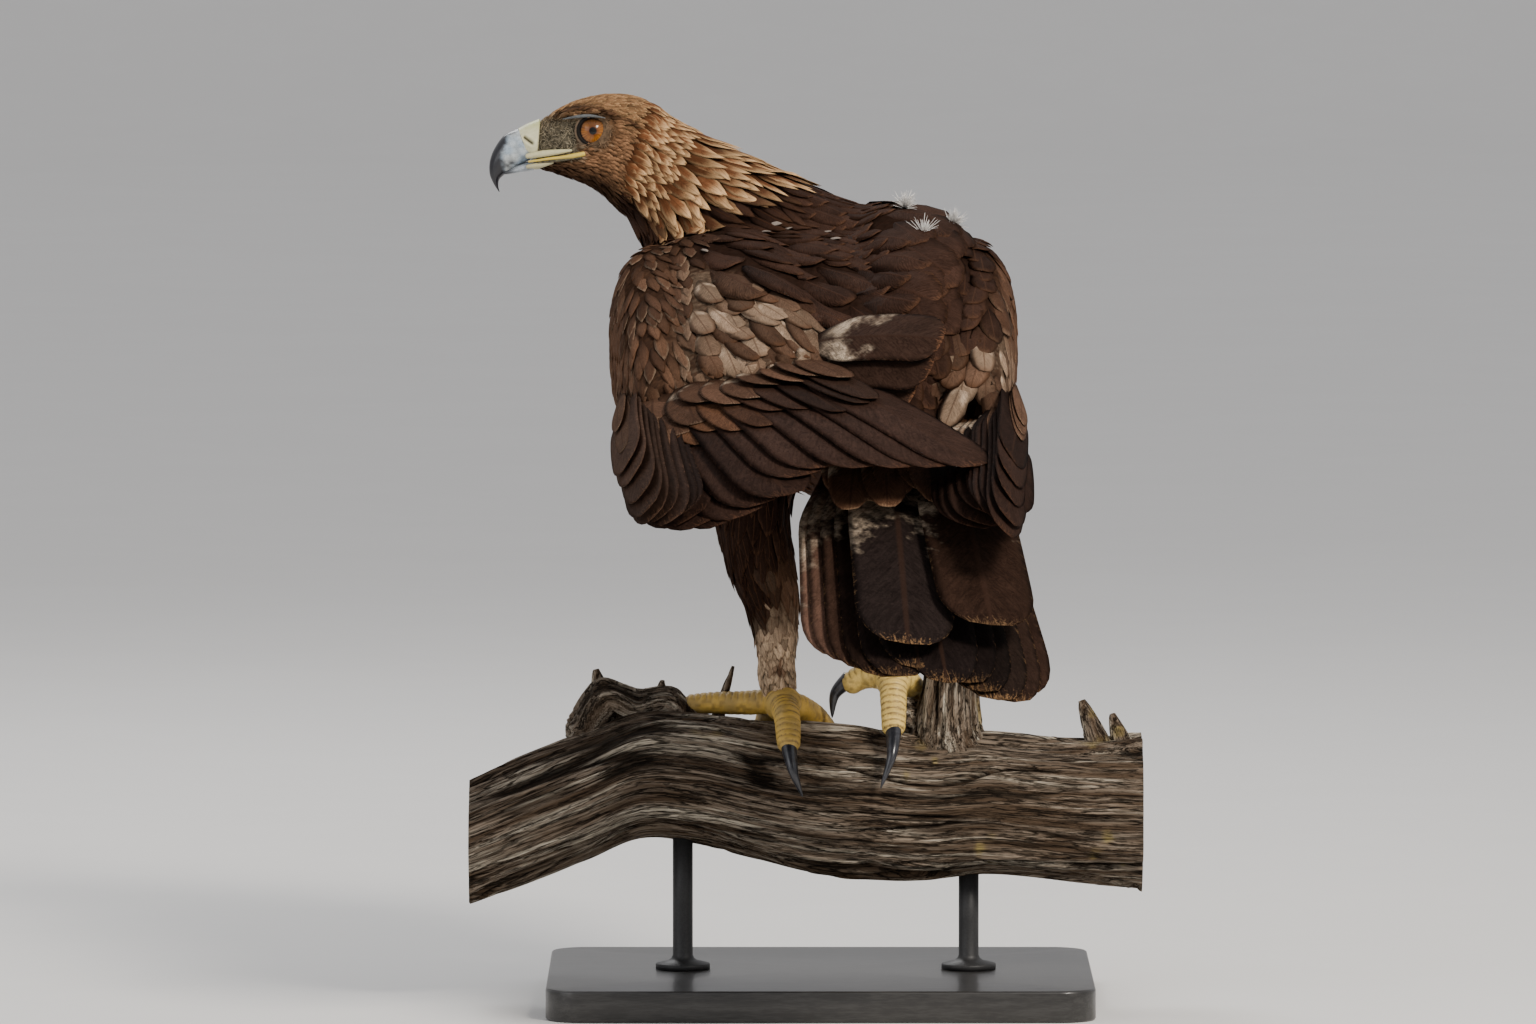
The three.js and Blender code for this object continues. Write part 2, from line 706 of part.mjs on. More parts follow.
function cereCore( grow = 0 ) {

	return loft( CERE, { sides: 14, steps: 3, grow } );

}

// The legs, feet and claws.

const LEFT_LEG = [ // point, half width across, half width fore and aft
	[ seen( - 46, 22, 384 ), 38, 52 ], [ seen( - 47, 8, 338 ), 28, 42 ],
	[ seen( - 41, - 5, 304 ), 25, 33 ], [ seen( - 34, - 12, 280 ), 21, 25 ],
	[ seen( - 31, - 14, 258 ), 17, 19 ]
];
const LEFT_TARSUS = [
	[ seen( - 31, - 14, 258 ), 17, 19 ], [ seen( - 30.5, - 10, 241 ), 14.7, 15 ],
	[ seen( - 30, - 4, 224 ), 15, 15 ], [ seen( - 27, - 1, 214 ), 13, 13 ]
];
const RIGHT_LEG = [
	[ seen( 62, 36, 384 ), 38, 52 ], [ seen( 62, 22, 338 ), 29, 42 ], [ seen( 60, 4, 304 ), 25, 33 ],
	[ seen( 57, - 6, 286 ), 21, 25 ], [ seen( 55, - 10, 270 ), 17, 19 ]
];
const RIGHT_TARSUS = [
	[ seen( 55, - 10, 270 ), 17, 19 ], [ seen( 54, - 9, 256 ), 14.7, 15 ],
	[ seen( 52.5, - 4, 241 ), 15, 15 ], [ seen( 51, 0, 231 ), 13, 13 ]
];

function legSolid( list, grow = 0, ends = [ 0, 0 ] ) {

	return loft( along( list, vec( 0, 1, 0 ) ), { sides: 10, steps: 4, grow, ends } );

}

const FEET = {
	left: {
		palm: [ seen( - 26, - 10, 208 ), seen( - 27, 12, 209 ), 13 ],
		toes: {
			outer: {
				bones: [
					seen( - 36, 4, 209 ), seen( - 54, 9, 208 ),
					seen( - 74, 14, 208 ), seen( - 90, 17, 207 )
				],
				claw: [ seen( - 90, 18, 207 ), seen( - 97, 36, 204 ), seen( - 98, 52, 188 ) ]
			},
			middle: {
				bones: [
					onLog( - 30, 12, 10 ), onLog( - 36, 32, 9 ),
					onLog( - 40, 55, 9 ), onLog( - 42, 76, 8.5 )
				],
				claw: [ onLog( - 42, 76, 8.5 ), onLog( - 42, 100, 9 ), onLog( - 40, 122, 4 ) ]
			},
			inner: {
				bones: [ onLog( - 16, 10, 10 ), onLog( - 4, 26, 9 ), onLog( 6, 44, 8.5 ) ],
				claw: [ onLog( 6, 44, 8.5 ), onLog( 12, 72, 10 ), onLog( 12, 98, 4 ) ]
			},
			hallux: {
				bones: [ seen( - 25, - 14, 206 ), seen( - 23, - 32, 198 ), seen( - 22, - 46, 181 ) ],
				claw: [ seen( - 22, - 47, 179 ), seen( - 19, - 58, 162 ), seen( - 12.5, - 56, 144 ) ]
			}
		}
	},
	right: {
		palm: [ seen( 51, - 9, 224 ), seen( 52, 12, 225 ), 12.5 ],
		toes: {
			outer: {
				bones: [ seen( 60, 14, 224 ), seen( 72, 34, 210 ), seen( 84, 48, 190 ), seen( 90, 55, 172 ) ],
				claw: [ seen( 90, 55, 172 ), seen( 92, 60, 156 ), seen( 91, 54, 140 ) ]
			},
			middle: {
				bones: [ seen( 53, 16, 223 ), seen( 54, 36, 206 ), seen( 55, 51, 184 ), seen( 56, 57, 162 ) ],
				claw: [ seen( 56, 57, 162 ), seen( 57, 60, 143 ), seen( 57, 50, 122 ) ]
			},
			inner: {
				bones: [ seen( 43, 3, 227 ), seen( 31, 8, 227 ), seen( 22, 10, 222 ) ],
				claw: [ seen( 21, 10, 225 ), seen( 10.5, 12, 214 ), seen( 8.5, 10, 198 ) ]
			},
			hallux: {
				bones: [ seen( 51, - 13, 221 ), seen( 51, - 25, 208 ), seen( 51, - 36, 192 ) ],
				claw: [ seen( 51, - 37, 191 ), seen( 49.5, - 53, 172 ), seen( 42, - 57, 150 ) ]
			}
		}
	}
};
const TOE = { outer: [ 9, 7 ], middle: [ 9.5, 7.2 ], inner: [ 9.8, 8.2 ], hallux: [ 10, 8.4 ] };
const CLAW = { outer: 5, middle: 5.5, inner: 6.4, hallux: 6.6 };

function palmSolid( [ heel, ball, radius ], grow = 0 ) {

	return limb( [ [ heel, radius ], [ ball, radius ] ], { sides: 9, steps: 1, grow } );

}

// Plates across the top of each toe, and pads below it.
const SCUTES = { stops: [ 0, 0.23, 0.26, 0.48, 0.51, 0.73, 0.76, 1 ], count: 4, rise: 0.1 };

function scute( point, row, angle ) {

	const place = ( row.t * SCUTES.count ) % 1;
	const rise = Math.sin( angle ) > - 0.3 ? place * SCUTES.rise : Math.sin( place * Math.PI ) * SCUTES.rise;
	return row.at.clone().lerp( point, 1 + rise );

}

function toeSolid( kind, bones, grow = 0 ) {

	const [ thick, thin ] = TOE[ kind ];
	const list = bones.map( ( at, i ) => [ at, thick + ( thin - thick ) * i / ( bones.length - 1 ) ] );
	return limb( list, { sides: 6, stops: SCUTES.stops, shape: scute, grow } );

}

function clawSolid( kind, spine, grow = 0 ) {

	const radius = CLAW[ kind ];
	const taper = [ 1, 0.62, 0.12 ];
	const list = spine.map( ( at, i ) => [ at, radius * taper[ i ] ] );
	return limb( list, { sides: 6, steps: 4, grow, ends: CAPS.claw } );

}

// The wings: a core along each folded arm, which the feathers grow from.

const WING_CORES = {
	left: [ // middle, half thickness, half height
		[ seen( - 88, 150, 488 ), 16, 28 ], [ seen( - 101, 118, 486 ), 32, 48 ],
		[ seen( - 111, 60, 472 ), 38, 62 ], [ seen( - 113, 0, 450 ), 37, 66 ],
		[ seen( - 110, - 70, 426 ), 32, 52 ], [ seen( - 103, - 122, 404 ), 27, 32 ]
	],
	right: [
		[ seen( 80, 138, 492 ), 16, 28 ], [ seen( 91, 106, 490 ), 32, 48 ],
		[ seen( 101, 50, 476 ), 37, 62 ], [ seen( 105, - 10, 452 ), 36, 64 ],
		[ seen( 106, - 75, 428 ), 30, 50 ], [ seen( 106, - 124, 406 ), 25, 30 ]
	]
};

const WING_SQUARE = 2.4;
const SHOULDER_SQUARE = 2.2;
const CORE_SINK = 4; // how far each core lies below the feathers' mean surface
const CAPS = { torso: [ 16, 22 ], wing: [ 14, 0 ], shoulder: [ 16, 0 ], thigh: [ 12, 0 ], claw: [ 3, 0.5 ] };
const SHOULDERS = {
	left: [
		[ seen( - 66, 118, 505 ), 38, 34 ], [ seen( - 58, 60, 502 ), 48, 44 ],
		[ seen( - 44, - 10, 478 ), 52, 46 ], [ seen( - 34, - 76, 448 ), 48, 38 ],
		[ seen( - 31, - 122, 424 ), 44, 28 ]
	],
	right: [
		[ seen( 44, 118, 524 ), 46, 40 ], [ seen( 60, 60, 512 ), 52, 48 ], [ seen( 72, - 10, 484 ), 48, 46 ],
		[ seen( 76, - 76, 444 ), 42, 34 ], [ seen( 78, - 122, 418 ), 36, 24 ]
	]
};

function wingCore( list, grow = 0 ) {

	const shape = { sides: 10, steps: 5, square: WING_SQUARE, ends: CAPS.wing };
	return loft( along( list ), { ...shape, grow: grow - CORE_SINK } );

}

function shoulder( list, grow = 0 ) {

	const shape = { sides: 10, steps: 4, square: SHOULDER_SQUARE, ends: CAPS.shoulder };
	return loft( along( list ), { ...shape, grow: grow - CORE_SINK } );

}

// The wings' feathers: coverts in rows over each core, and the flight feathers in tiers behind.

const COVERT_ROWS = {
	left: [
		{ from: 0.42, to: 0.66, start: - 44, end: 74, count: 4, width: 44, lift: 0 },
		{ from: 0.6, to: 0.98, start: - 50, end: 70, count: 4, width: 44, lift: 1 }
	],
	right: [
		{ from: 0.42, to: 0.66, start: 106, end: 224, count: 4, width: 44, lift: 0 },
		{ from: 0.6, to: 0.98, start: 110, end: 230, count: 4, width: 44, lift: 1 }
	]
};
const SCAPULAR_ROWS = {
	left: [
		{ from: 0.3, to: 0.64, start: 44, end: 112, count: 3, width: 40 },
		{ from: 0.54, to: 1, start: 40, end: 108, count: 3, width: 44, lift: 4 }
	],
	right: [
		{ from: 0.3, to: 0.64, start: 136, end: 68, count: 3, width: 40 },
		{ from: 0.54, to: 1, start: 140, end: 72, count: 3, width: 40, lift: 4 }
	]
};
const FLIGHT = {
	left: [
		{ // primaries
			count: 5, width: 34, arch: 4, camber: 0, seed: 11, roll: - 12,
			roots: [ seen( - 134, - 50, 424 ), seen( - 127, - 90, 420 ), seen( - 116, - 125, 412 ) ],
			tips: [ seen( - 131, - 262, 376 ), seen( - 121, - 322, 354 ), seen( - 112, - 350, 336 ),
				seen( - 101, - 334, 338 ), seen( - 92, - 314, 343 ) ],
			faces: [ vec( - 0.9, - 0.15, 0.4 ), vec( - 0.75, - 0.2, 0.6 ), vec( - 0.5, - 0.3, 0.8 ) ]
		},
		{ // secondaries
			count: 6, width: 52, arch: 8, camber: 0, seed: 12, roll: - 11, coverts: 0.5,
			roots: [ seen( - 116, - 110, 416 ), seen( - 90, - 120, 424 ), seen( - 52, - 115, 430 ),
				seen( - 20, - 100, 444 ) ],
			tips: [ seen( - 88, - 305, 334 ), seen( - 60, - 312, 335 ), seen( - 32, - 305, 351 ),
				seen( 0, - 290, 369 ), seen( 48, - 280, 374 ), seen( 102, - 266, 375 ) ],
			faces: [ vec( - 0.5, - 0.3, 0.8 ), vec( - 0.1, - 0.35, 0.93 ), vec( 0.15, - 0.35, 0.93 ) ]
		},
		{ // tertials that cross to the right
			count: 3, width: 38, arch: 5, camber: 0.04, seed: 14, roll: - 4,
			roots: [ seen( - 20, - 92, 440 ), seen( - 14, - 78, 454 ), seen( - 8, - 62, 468 ) ],
			tips: [ seen( 60, - 196, 420 ), seen( 72, - 178, 438 ), seen( 82, - 158, 456 ) ],
			faces: [ vec( 0.3, - 0.55, 0.78 ), vec( 0.35, - 0.6, 0.7 ), vec( 0.4, - 0.65, 0.65 ) ]
		}
	],
	right: [
		{
			count: 4, width: 34, arch: 4, camber: 0, seed: 21, roll: 12,
			roots: [ seen( 132, - 55, 428 ), seen( 127, - 90, 422 ), seen( 118, - 125, 414 ) ],
			tips: [ seen( 128, - 250, 382 ), seen( 126, - 318, 354 ), seen( 123, - 346, 334 ),
				seen( 117, - 330, 338 ), seen( 112, - 312, 344 ) ],
			faces: [ vec( 0.9, - 0.15, 0.4 ), vec( 0.8, - 0.2, 0.55 ), vec( 0.6, - 0.3, 0.75 ) ]
		},
		{
			count: 3, width: 46, arch: 8, camber: 0, seed: 22, roll: 11, coverts: 0.5,
			roots: [ seen( 118, - 110, 406 ), seen( 106, - 112, 404 ), seen( 94, - 112, 402 ) ],
			tips: [ seen( 122, - 300, 346 ), seen( 108, - 306, 336 ), seen( 96, - 298, 331 ) ],
			faces: [ vec( 0.5, - 0.3, 0.8 ), vec( 0.25, - 0.35, 0.93 ) ]
		}
	]
};

/** All the vanes of one wing. */
function wingVanes( side, grow = 0 ) {

	const roll = side === 'left' ? - 11 : 11;
	const covert = { square: WING_SQUARE, form: 'small', seed: 31, roll };
	const scapular = { square: SHOULDER_SQUARE, seed: 32, sink: 9, roll };
	return [
		...shingles( along( WING_CORES[ side ] ), COVERT_ROWS[ side ], covert, grow ),
		...shingles( along( SHOULDERS[ side ] ), SCAPULAR_ROWS[ side ], scapular, grow ),
		...FLIGHT[ side ].flatMap( set => tier( set, grow ) )
	];

}

// The tail: twelve feathers, the outer ones lowest, on a wedge that runs out of the rump.

const TAIL = {
	roots: [ seen( 10, - 134, 384 ), seen( 50, - 132, 392 ), seen( 90, - 134, 380 ) ],
	tips: [ seen( 13, - 372, 250 ), seen( 32, - 392, 240 ), seen( 56, - 400, 236 ), seen( 92, - 402, 228 ),
		seen( 116, - 398, 221 ), seen( 136, - 384, 224 ) ],
	face: vec( 0.16, - 0.45, 0.88 ),
	count: 12,
	width: 44,
	arch: 3,
	seed: 41,
	vary: 0.025, // how much the feathers' lengths differ
	step: 1.5, // how far each feather lies below the one nearer the middle
	wedge: [ // middle, half width, half thickness
		[ seen( 50, - 122, 382 ), 46, 20 ], [ seen( 52, - 150, 374 ), 50, 15 ],
		[ seen( 54, - 190, 354 ), 46, 4 ]
	]
};
const TAIL_COVERTS = {
	count: 3, width: 40, arch: 3, camber: 0, seed: 42, form: 'covert',
	roots: [ seen( 24, - 134, 390 ), seen( 52, - 132, 394 ), seen( 76, - 134, 388 ) ],
	tips: [ seen( 18, - 226, 352 ), seen( 42, - 240, 348 ), seen( 72, - 240, 343 ), seen( 96, - 228, 338 ) ],
	faces: [ vec( - 0.2, - 0.45, 0.85 ), vec( 0.16, - 0.45, 0.88 ), vec( 0.4, - 0.45, 0.8 ) ]
};

function tailVanes( grow = 0 ) {

	const middle = ( TAIL.count - 1 ) / 2;
	const random = randomFrom( TAIL.seed );
	return Array.from( { length: TAIL.count }, ( _, i ) => {

		const t = i / ( TAIL.count - 1 );
		const drop = Math.abs( i - middle ) * TAIL.step;
		const down = TAIL.face.clone().normalize().multiplyScalar( - drop );
		const root = smooth( TAIL.roots, t ).add( down );
		const tip = smooth( TAIL.tips, t ).add( down );
		tip.addScaledVector( tip.clone().sub( root ), ( random() - 0.5 ) * 2 * TAIL.vary );
		const { face, width, arch } = TAIL;
		return vane( { root, tip, faceRoot: face, width, arch, form: 'rectrix', grow } );

	} );

}

const NAPE_ROWS = [
	{ from: 0.04, to: 0.3, start: 10, end: 170, count: 5, width: 20 },
	{ from: 0.2, to: 0.48, start: - 4, end: 184, count: 6, width: 22 },
	{ from: 0.38, to: 0.66, start: 10, end: 170, count: 5, width: 26 }
];
const MANTLE_ROWS = [
	{ from: 0.47, to: 0.74, start: 76, end: 104, count: 2, width: 38 }
];
const TROUSER_ROWS = [
	{ from: 0.3, to: 0.8, start: 20, end: 290, count: 4, width: 26 }
];

function legVanes( list, grow = 0 ) {

	return shingles( along( list, vec( 0, 1, 0 ) ), TROUSER_ROWS, { form: 'small', seed: 51 }, grow );

}

function mantleVanes( grow = 0 ) {

	return shingles( TORSO_STATIONS, MANTLE_ROWS, { square: TORSO_SQUARE, seed: 61 }, grow );

}

function napeVanes() {

	return shingles( NECK, NAPE_ROWS, { form: 'hackle', sink: 3, seed: 71 } );

}

function tailWedge() {

	return loft( along( TAIL.wedge ), { sides: 12, steps: 2, square: 4 } );

}

// The neighbours that the body's parts are cut by, grown by the gap.
const grownPerch = perchSolid( GAP );
const grownTorso = torsoSolid( GAP );
const grownCores = [ 'left', 'right' ].flatMap( side =>
	[ wingCore( WING_CORES[ side ], GAP ), shoulder( SHOULDERS[ side ], GAP ) ] );

function addStand() {

	add( 'stand_base', baseSolid(), 'stand' );
	ROD.places.forEach( ( place, i ) => {

		const rod = rodSolid( place, logAt( place.x ).middle );
		add( `stand_rod_${ i + 1 }`, clear( rod, [ grownPerch ] ), 'stand' );

	} );
	add( 'perch', perchSolid(), 'wood' );

}

function addBody() {

	const aroundBody = [ grownTorso, ...grownCores ];
	add( 'torso', fuse( [ torsoSolid(), ...mantleVanes() ] ), 'plumage' );
	for ( const side of [ 'left', 'right' ] ) {

		const wing = [ wingCore( WING_CORES[ side ] ), shoulder( SHOULDERS[ side ] ), ...wingVanes( side ) ];
		add( `wing_${ side }`, clear( fuse( wing ), [ grownTorso, ...mantleVanes( GAP ) ] ), 'dark_plumage' );

	}

	const tail = fuse( [ tailWedge(), ...tailVanes(), ...tier( TAIL_COVERTS ) ] );
	add( 'tail', clear( tail, aroundBody ), 'dark_plumage' );
	add( 'neck', clear( fuse( [ neckCore(), ...napeVanes() ] ), aroundBody ), 'hackle' );

}

function addHead() {

	const sides = [ - 1, 1 ];
	const face = [ skullSolid(), ...sides.flatMap( side => [ browSolid( side ), lidSolid( side ) ] ) ];
	const softParts = sides.flatMap( side => [ eyeSolid( side, GAP ), gapeSolid( side, GAP ) ] );
	const cere = fuse( [ cereCore(), ...sides.map( side => gapeSolid( side ) ) ] );
	add( 'head', clear( fuse( face ), [ ...softParts, cereCore( GAP ), lowerBillSolid( GAP ) ] ), 'plumage' );
	add( 'eye_left', eyeSolid( - 1 ), 'eye' );
	add( 'eye_right', eyeSolid( 1 ), 'eye' );
	add( 'cere', clear( cere, [ ...sides.map( nostrilSolid ), billSolid( GAP ) ] ), 'skin' );
	add( 'bill_upper', billSolid(), 'bill' );
	const aroundBill = [ billSolid( GAP ), cereCore( GAP ), ...softParts ];
	add( 'bill_lower', clear( lowerBillSolid(), aroundBill ), 'bill' );

}

function addLeg( side, leg, shin ) {

	const { palm, toes } = FEET[ side ];
	const grownPalm = palmSolid( palm, GAP );
	const [ [ knee, ...knees ], ...rest ] = shin;
	const lowered = [ [ knee.clone().add( vec( 0, 0, - GAP ) ), ...knees ], ...rest ];
	const thigh = fuse( [ legSolid( leg, 0, CAPS.thigh ), ...legVanes( leg ) ] );
	const grownThigh = [ legSolid( leg, GAP + SLACK ), ...legVanes( leg, GAP ) ];
	add( `thigh_${ side }`, clear( thigh, [ grownTorso, ...grownCores ] ), 'plumage' );
	add( `tarsus_${ side }`, clear( legSolid( lowered ), [ grownPalm, ...grownThigh ] ), 'tarsus' );
	add( `foot_${ side }`, clear( palmSolid( palm ), [ grownPerch ] ), 'skin' );
	const done = [];
	for ( const [ kind, { bones, claw } ] of Object.entries( toes ) ) {

		const grownClaw = clawSolid( kind, claw, GAP );
		const around = [ grownPerch, grownPalm, legSolid( shin, GAP ), ...done, grownClaw ];
		add( `toe_${ side }_${ kind }`, clear( toeSolid( kind, bones ), around ), 'skin' );
		add( `claw_${ side }_${ kind }`, clear( clawSolid( kind, claw ), [ grownPerch ] ), 'horn' );
		done.push( toeSolid( kind, bones, GAP ), grownClaw );

	}

}

addStand();
addBody();
addHead();
addLeg( 'left', LEFT_LEG, LEFT_TARSUS );
addLeg( 'right', RIGHT_LEG, RIGHT_TARSUS );

export default part;
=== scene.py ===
"""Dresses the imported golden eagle: skin, feathers, head, feet, branch and stand.

Shapes are worked out in millimetres in the CAD model's own frame: X to the photo's right, Y away
from its camera, Z up. They become metres when a mesh is made.
"""

import logging
import math
from dataclasses import dataclass, field
from enum import Enum

import bpy
import numpy as np
from mathutils.bvhtree import BVHTree
from mathutils.kdtree import KDTree
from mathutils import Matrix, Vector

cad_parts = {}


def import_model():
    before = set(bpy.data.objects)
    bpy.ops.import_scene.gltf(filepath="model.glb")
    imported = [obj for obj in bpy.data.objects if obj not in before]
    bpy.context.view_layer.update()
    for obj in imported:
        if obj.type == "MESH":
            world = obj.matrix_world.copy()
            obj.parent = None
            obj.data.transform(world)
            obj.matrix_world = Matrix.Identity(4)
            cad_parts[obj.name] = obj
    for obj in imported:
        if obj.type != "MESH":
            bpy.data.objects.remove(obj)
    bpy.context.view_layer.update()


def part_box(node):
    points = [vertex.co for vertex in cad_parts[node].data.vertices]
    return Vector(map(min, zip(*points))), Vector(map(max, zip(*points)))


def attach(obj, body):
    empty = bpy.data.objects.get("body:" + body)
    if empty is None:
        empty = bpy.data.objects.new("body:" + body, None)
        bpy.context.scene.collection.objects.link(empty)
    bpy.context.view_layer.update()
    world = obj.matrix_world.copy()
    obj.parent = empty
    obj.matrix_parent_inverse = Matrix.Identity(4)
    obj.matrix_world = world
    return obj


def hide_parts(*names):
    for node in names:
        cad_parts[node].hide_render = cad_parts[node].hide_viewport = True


Array = np.ndarray
Socket = bpy.types.NodeSocket
LOG = logging.getLogger("eagle")
MM = 0.001
TILT = math.radians(4.0)  # how far the photo's camera looks down
HEADING = math.radians(13.0)  # how far the body's front is turned to the left of straight away
STANCE = (18.0, -5.0)  # the point between the feet that the body is measured from
HEAD_DEPTH = 120.0  # depth of the head's middle plane
FULL_TURN = 2 * math.pi
BARB_RELIEF = 0.0006  # height of the feathers' bump, in metres
FEATHER_GLOSS = 0.02  # plain reflection of the feathers
BAKE_PATCH = 0.003  # width of a small feather's patch on its bake map
BAKE_STRIP = 0.94  # share of a region's strip of the bake map that is used
BAKE_EDGE = 0.004  # margin of the bake map
BAKE_SPAN = (0.99, 0.988)  # how much of the bake map is used, across and up
SKIN_SHADE_UNDER_FEATHERS = 0.55  # painted shade: how bright the skin under the feathers is painted, as a share of the feathers' colours over it


def circle(count: int) -> Array:
    """Angles in equal steps round a circle, in radians."""
    return np.arange(count) / count * FULL_TURN


def picture_height(points: Array) -> Array:
    """Height in the camera's tilted picture plane: Z * the tilt's cosine + Y * its sine."""
    return points[:, 2] * math.cos(TILT) + points[:, 1] * math.sin(TILT)


def opaque(colour: Array) -> Array:
    """Rows of red, green and blue, with 1 as a fourth number."""
    return np.concatenate([colour, np.ones((len(colour), 1))], 1)


def kd_tree(points: Array, order: Array | None = None) -> KDTree:
    """A tree that finds the nearest of some points.

    Args:
        points: Rows of three numbers.
        order: The numbers of those that go in, in turn, where not all do.

    Returns:
        The tree.
    """
    tree = KDTree(len(points))
    for i in range(len(points)) if order is None else order:
        tree.insert(points[i], i)
    tree.balance()
    return tree


def placed(name: str, data: bpy.types.ID) -> bpy.types.Object:
    """Puts a new object into the scene.

    Args:
        name: The object's name.
        data: What it shows.

    Returns:
        The object.
    """
    thing = bpy.data.objects.new(name, data)
    bpy.context.scene.collection.objects.link(thing)
    return thing


def seen(rows: object) -> Array:
    """Points from rows of place across, depth and height in the camera's tilted picture plane.

    Z is the height over the tilt's cosine, less the depth times the tilt's tangent.

    Args:
        rows: One row, or nested rows, of three numbers.

    Returns:
        The points, in an array of the same shape.
    """
    x, depth, height = np.moveaxis(np.asarray(rows, float), -1, 0)
    return np.stack([x, depth, height / math.cos(TILT) - depth * math.tan(TILT)], -1)


def unit(vectors: Array) -> Array:
    """Vectors divided by their lengths."""
    return vectors / np.maximum(np.linalg.norm(vectors, axis=-1, keepdims=True), 1e-9)


def ease(low: float, high: float, value: Array) -> Array:
    """Smooth step: 3 f^2 - 2 f^3, where f runs from 0 at low to 1 at high."""
    f = np.clip((value - low) / (high - low), 0, 1)
    return f * f * (3 - 2 * f)


def blend(a: Array, b: Array, share: Array) -> Array:
    """Colours a, mixed with b by a share for each row."""
    share = np.asarray(share)[..., None]
    return np.asarray(a) * (1 - share) + np.asarray(b) * share


def smooth(values: Array, t: Array) -> Array:
    """Catmull-Rom curve: four neighbours, weighted by cubics of the fraction between them.

    Args:
        values: One row for each knot of the curve.
        t: Places from 0 to 1, of any shape.

    Returns:
        The values at t.
    """
    values, t = np.asarray(values, float), np.asarray(t, float)
    last = len(values) - 1
    place = np.clip(t, 0, 1) * last
    i = np.minimum(place.astype(int), last - 1)
    f = (place - i).reshape(t.shape + (1,) * (values.ndim - 1))
    weights = (
        (-f + 2 * f**2 - f**3) / 2,
        (2 - 5 * f**2 + 3 * f**3) / 2,
        (f + 4 * f**2 - 3 * f**3) / 2,
        (f**3 - f**2) / 2,
    )
    return sum(w * values[np.clip(i + k - 1, 0, last)] for k, w in enumerate(weights))


def noise(points: Array, seed: int = 0) -> Array:
    """Value noise from -1 to 1: random corners of a unit lattice, blended by smooth steps.

    Args:
        points: Rows of three numbers.
        seed: Picks the lattice.

    Returns:
        One value a row.
    """
    base = np.floor(points).astype(np.int64)
    f = points - base
    f = f * f * (3 - 2 * f)
    total = np.zeros(points.shape[:-1])
    for corner in np.ndindex(2, 2, 2):
        x, y, z = np.moveaxis(base + corner, -1, 0)
        mixed = (x * 73856093) ^ (y * 19349663) ^ (z * 83492791) ^ (seed * 2654435761)
        mixed = ((mixed ^ (mixed >> 13)) * 1274126177) & 0xFFFFFFFF
        weight = np.prod(np.where(np.array(corner) == 1, f, 1 - f), axis=-1)
        total += weight * (mixed / 2**31 - 1)
    return total


@dataclass
class Shell:
    """A closed shape: points, faces of three or four corners, UV maps and point colours.

    Attributes:
        points: Rows of X, Y and Z in millimetres.
        faces: Rows of four point numbers; a triangle has -1 as its fourth.
        maps: UV maps by name, two numbers for each corner of each face.
        marks: Colours by name, four numbers for each point.
    """

    points: Array
    faces: Array
    maps: dict[str, Array] = field(default_factory=dict)
    marks: dict[str, Array] = field(default_factory=dict)

    def outward(self) -> "Shell":
        """Turns every face round if the signed volume, a sum of corner products, is negative.

        Returns:
            The shell itself.
        """
        a, b, c, d = np.moveaxis(self.points[self.faces], 1, 0)
        volume = np.einsum("ij,ij->i", a, np.cross(b, c))
        volume += np.einsum("ij,ij->i", a, np.cross(c, d)) * (self.faces[:, 3] >= 0)
        if volume.sum() < 0:
            order = np.where(self.faces[:, 3:] < 0, [[2, 1, 0, 3]], [[3, 2, 1, 0]])
            self.faces = np.take_along_axis(self.faces, order, 1)
            for name, uv in self.maps.items():
                self.maps[name] = np.take_along_axis(uv, order[..., None], 1)
        return self

    def painted(self, **marks: Array) -> "Shell":
        """Adds point colours.

        Args:
            marks: Colours by name, each as one row for all points or one for each.

        Returns:
            The shell itself.
        """
        for name, colour in marks.items():
            self.marks[name] = np.broadcast_to(colour, (len(self.points), 4)).copy()
        return self

    @staticmethod
    def joined(shells: list["Shell"]) -> "Shell":
        """Joins shells.

        Args:
            shells: Shells with the same maps and marks.

        Returns:
            All of them as one.
        """
        starts = np.cumsum([0] + [len(s.points) for s in shells[:-1]])
        faces = [np.where(s.faces < 0, -1, s.faces + n) for s, n in zip(shells, starts)]
        return Shell(
            np.concatenate([s.points for s in shells]),
            np.concatenate(faces),
            {k: np.concatenate([s.maps[k] for s in shells]) for k in shells[0].maps},
            {k: np.concatenate([s.marks[k] for s in shells]) for k in shells[0].marks},
        )

    def mesh(self, name: str) -> bpy.types.Mesh:
        """Makes the Blender mesh.

        Args:
            name: The mesh's name.

        Returns:
            The mesh, in metres, with its maps and colours.
        """
        made = bpy.data.meshes.new(name)
        real = self.faces >= 0
        loops, starts = self.faces[real], np.cumsum(real.sum(1)) - real.sum(1)
        made.vertices.add(len(self.points))
        made.vertices.foreach_set("co", (self.points * MM).ravel())
        made.loops.add(len(loops))
        made.loops.foreach_set("vertex_index", loops)
        made.polygons.add(len(starts))
        made.polygons.foreach_set("loop_start", starts)
        for map_name, uv in self.maps.items():
            made.uv_layers.new(name=map_name).data.foreach_set("uv", uv[real].ravel())
        for mark_name, colour in self.marks.items():
            layer = made.color_attributes.new(mark_name, "FLOAT_COLOR", "POINT")
            layer.data.foreach_set("color", colour.ravel())
        made.update(calc_edges=True)
        made.shade_smooth()
        return made


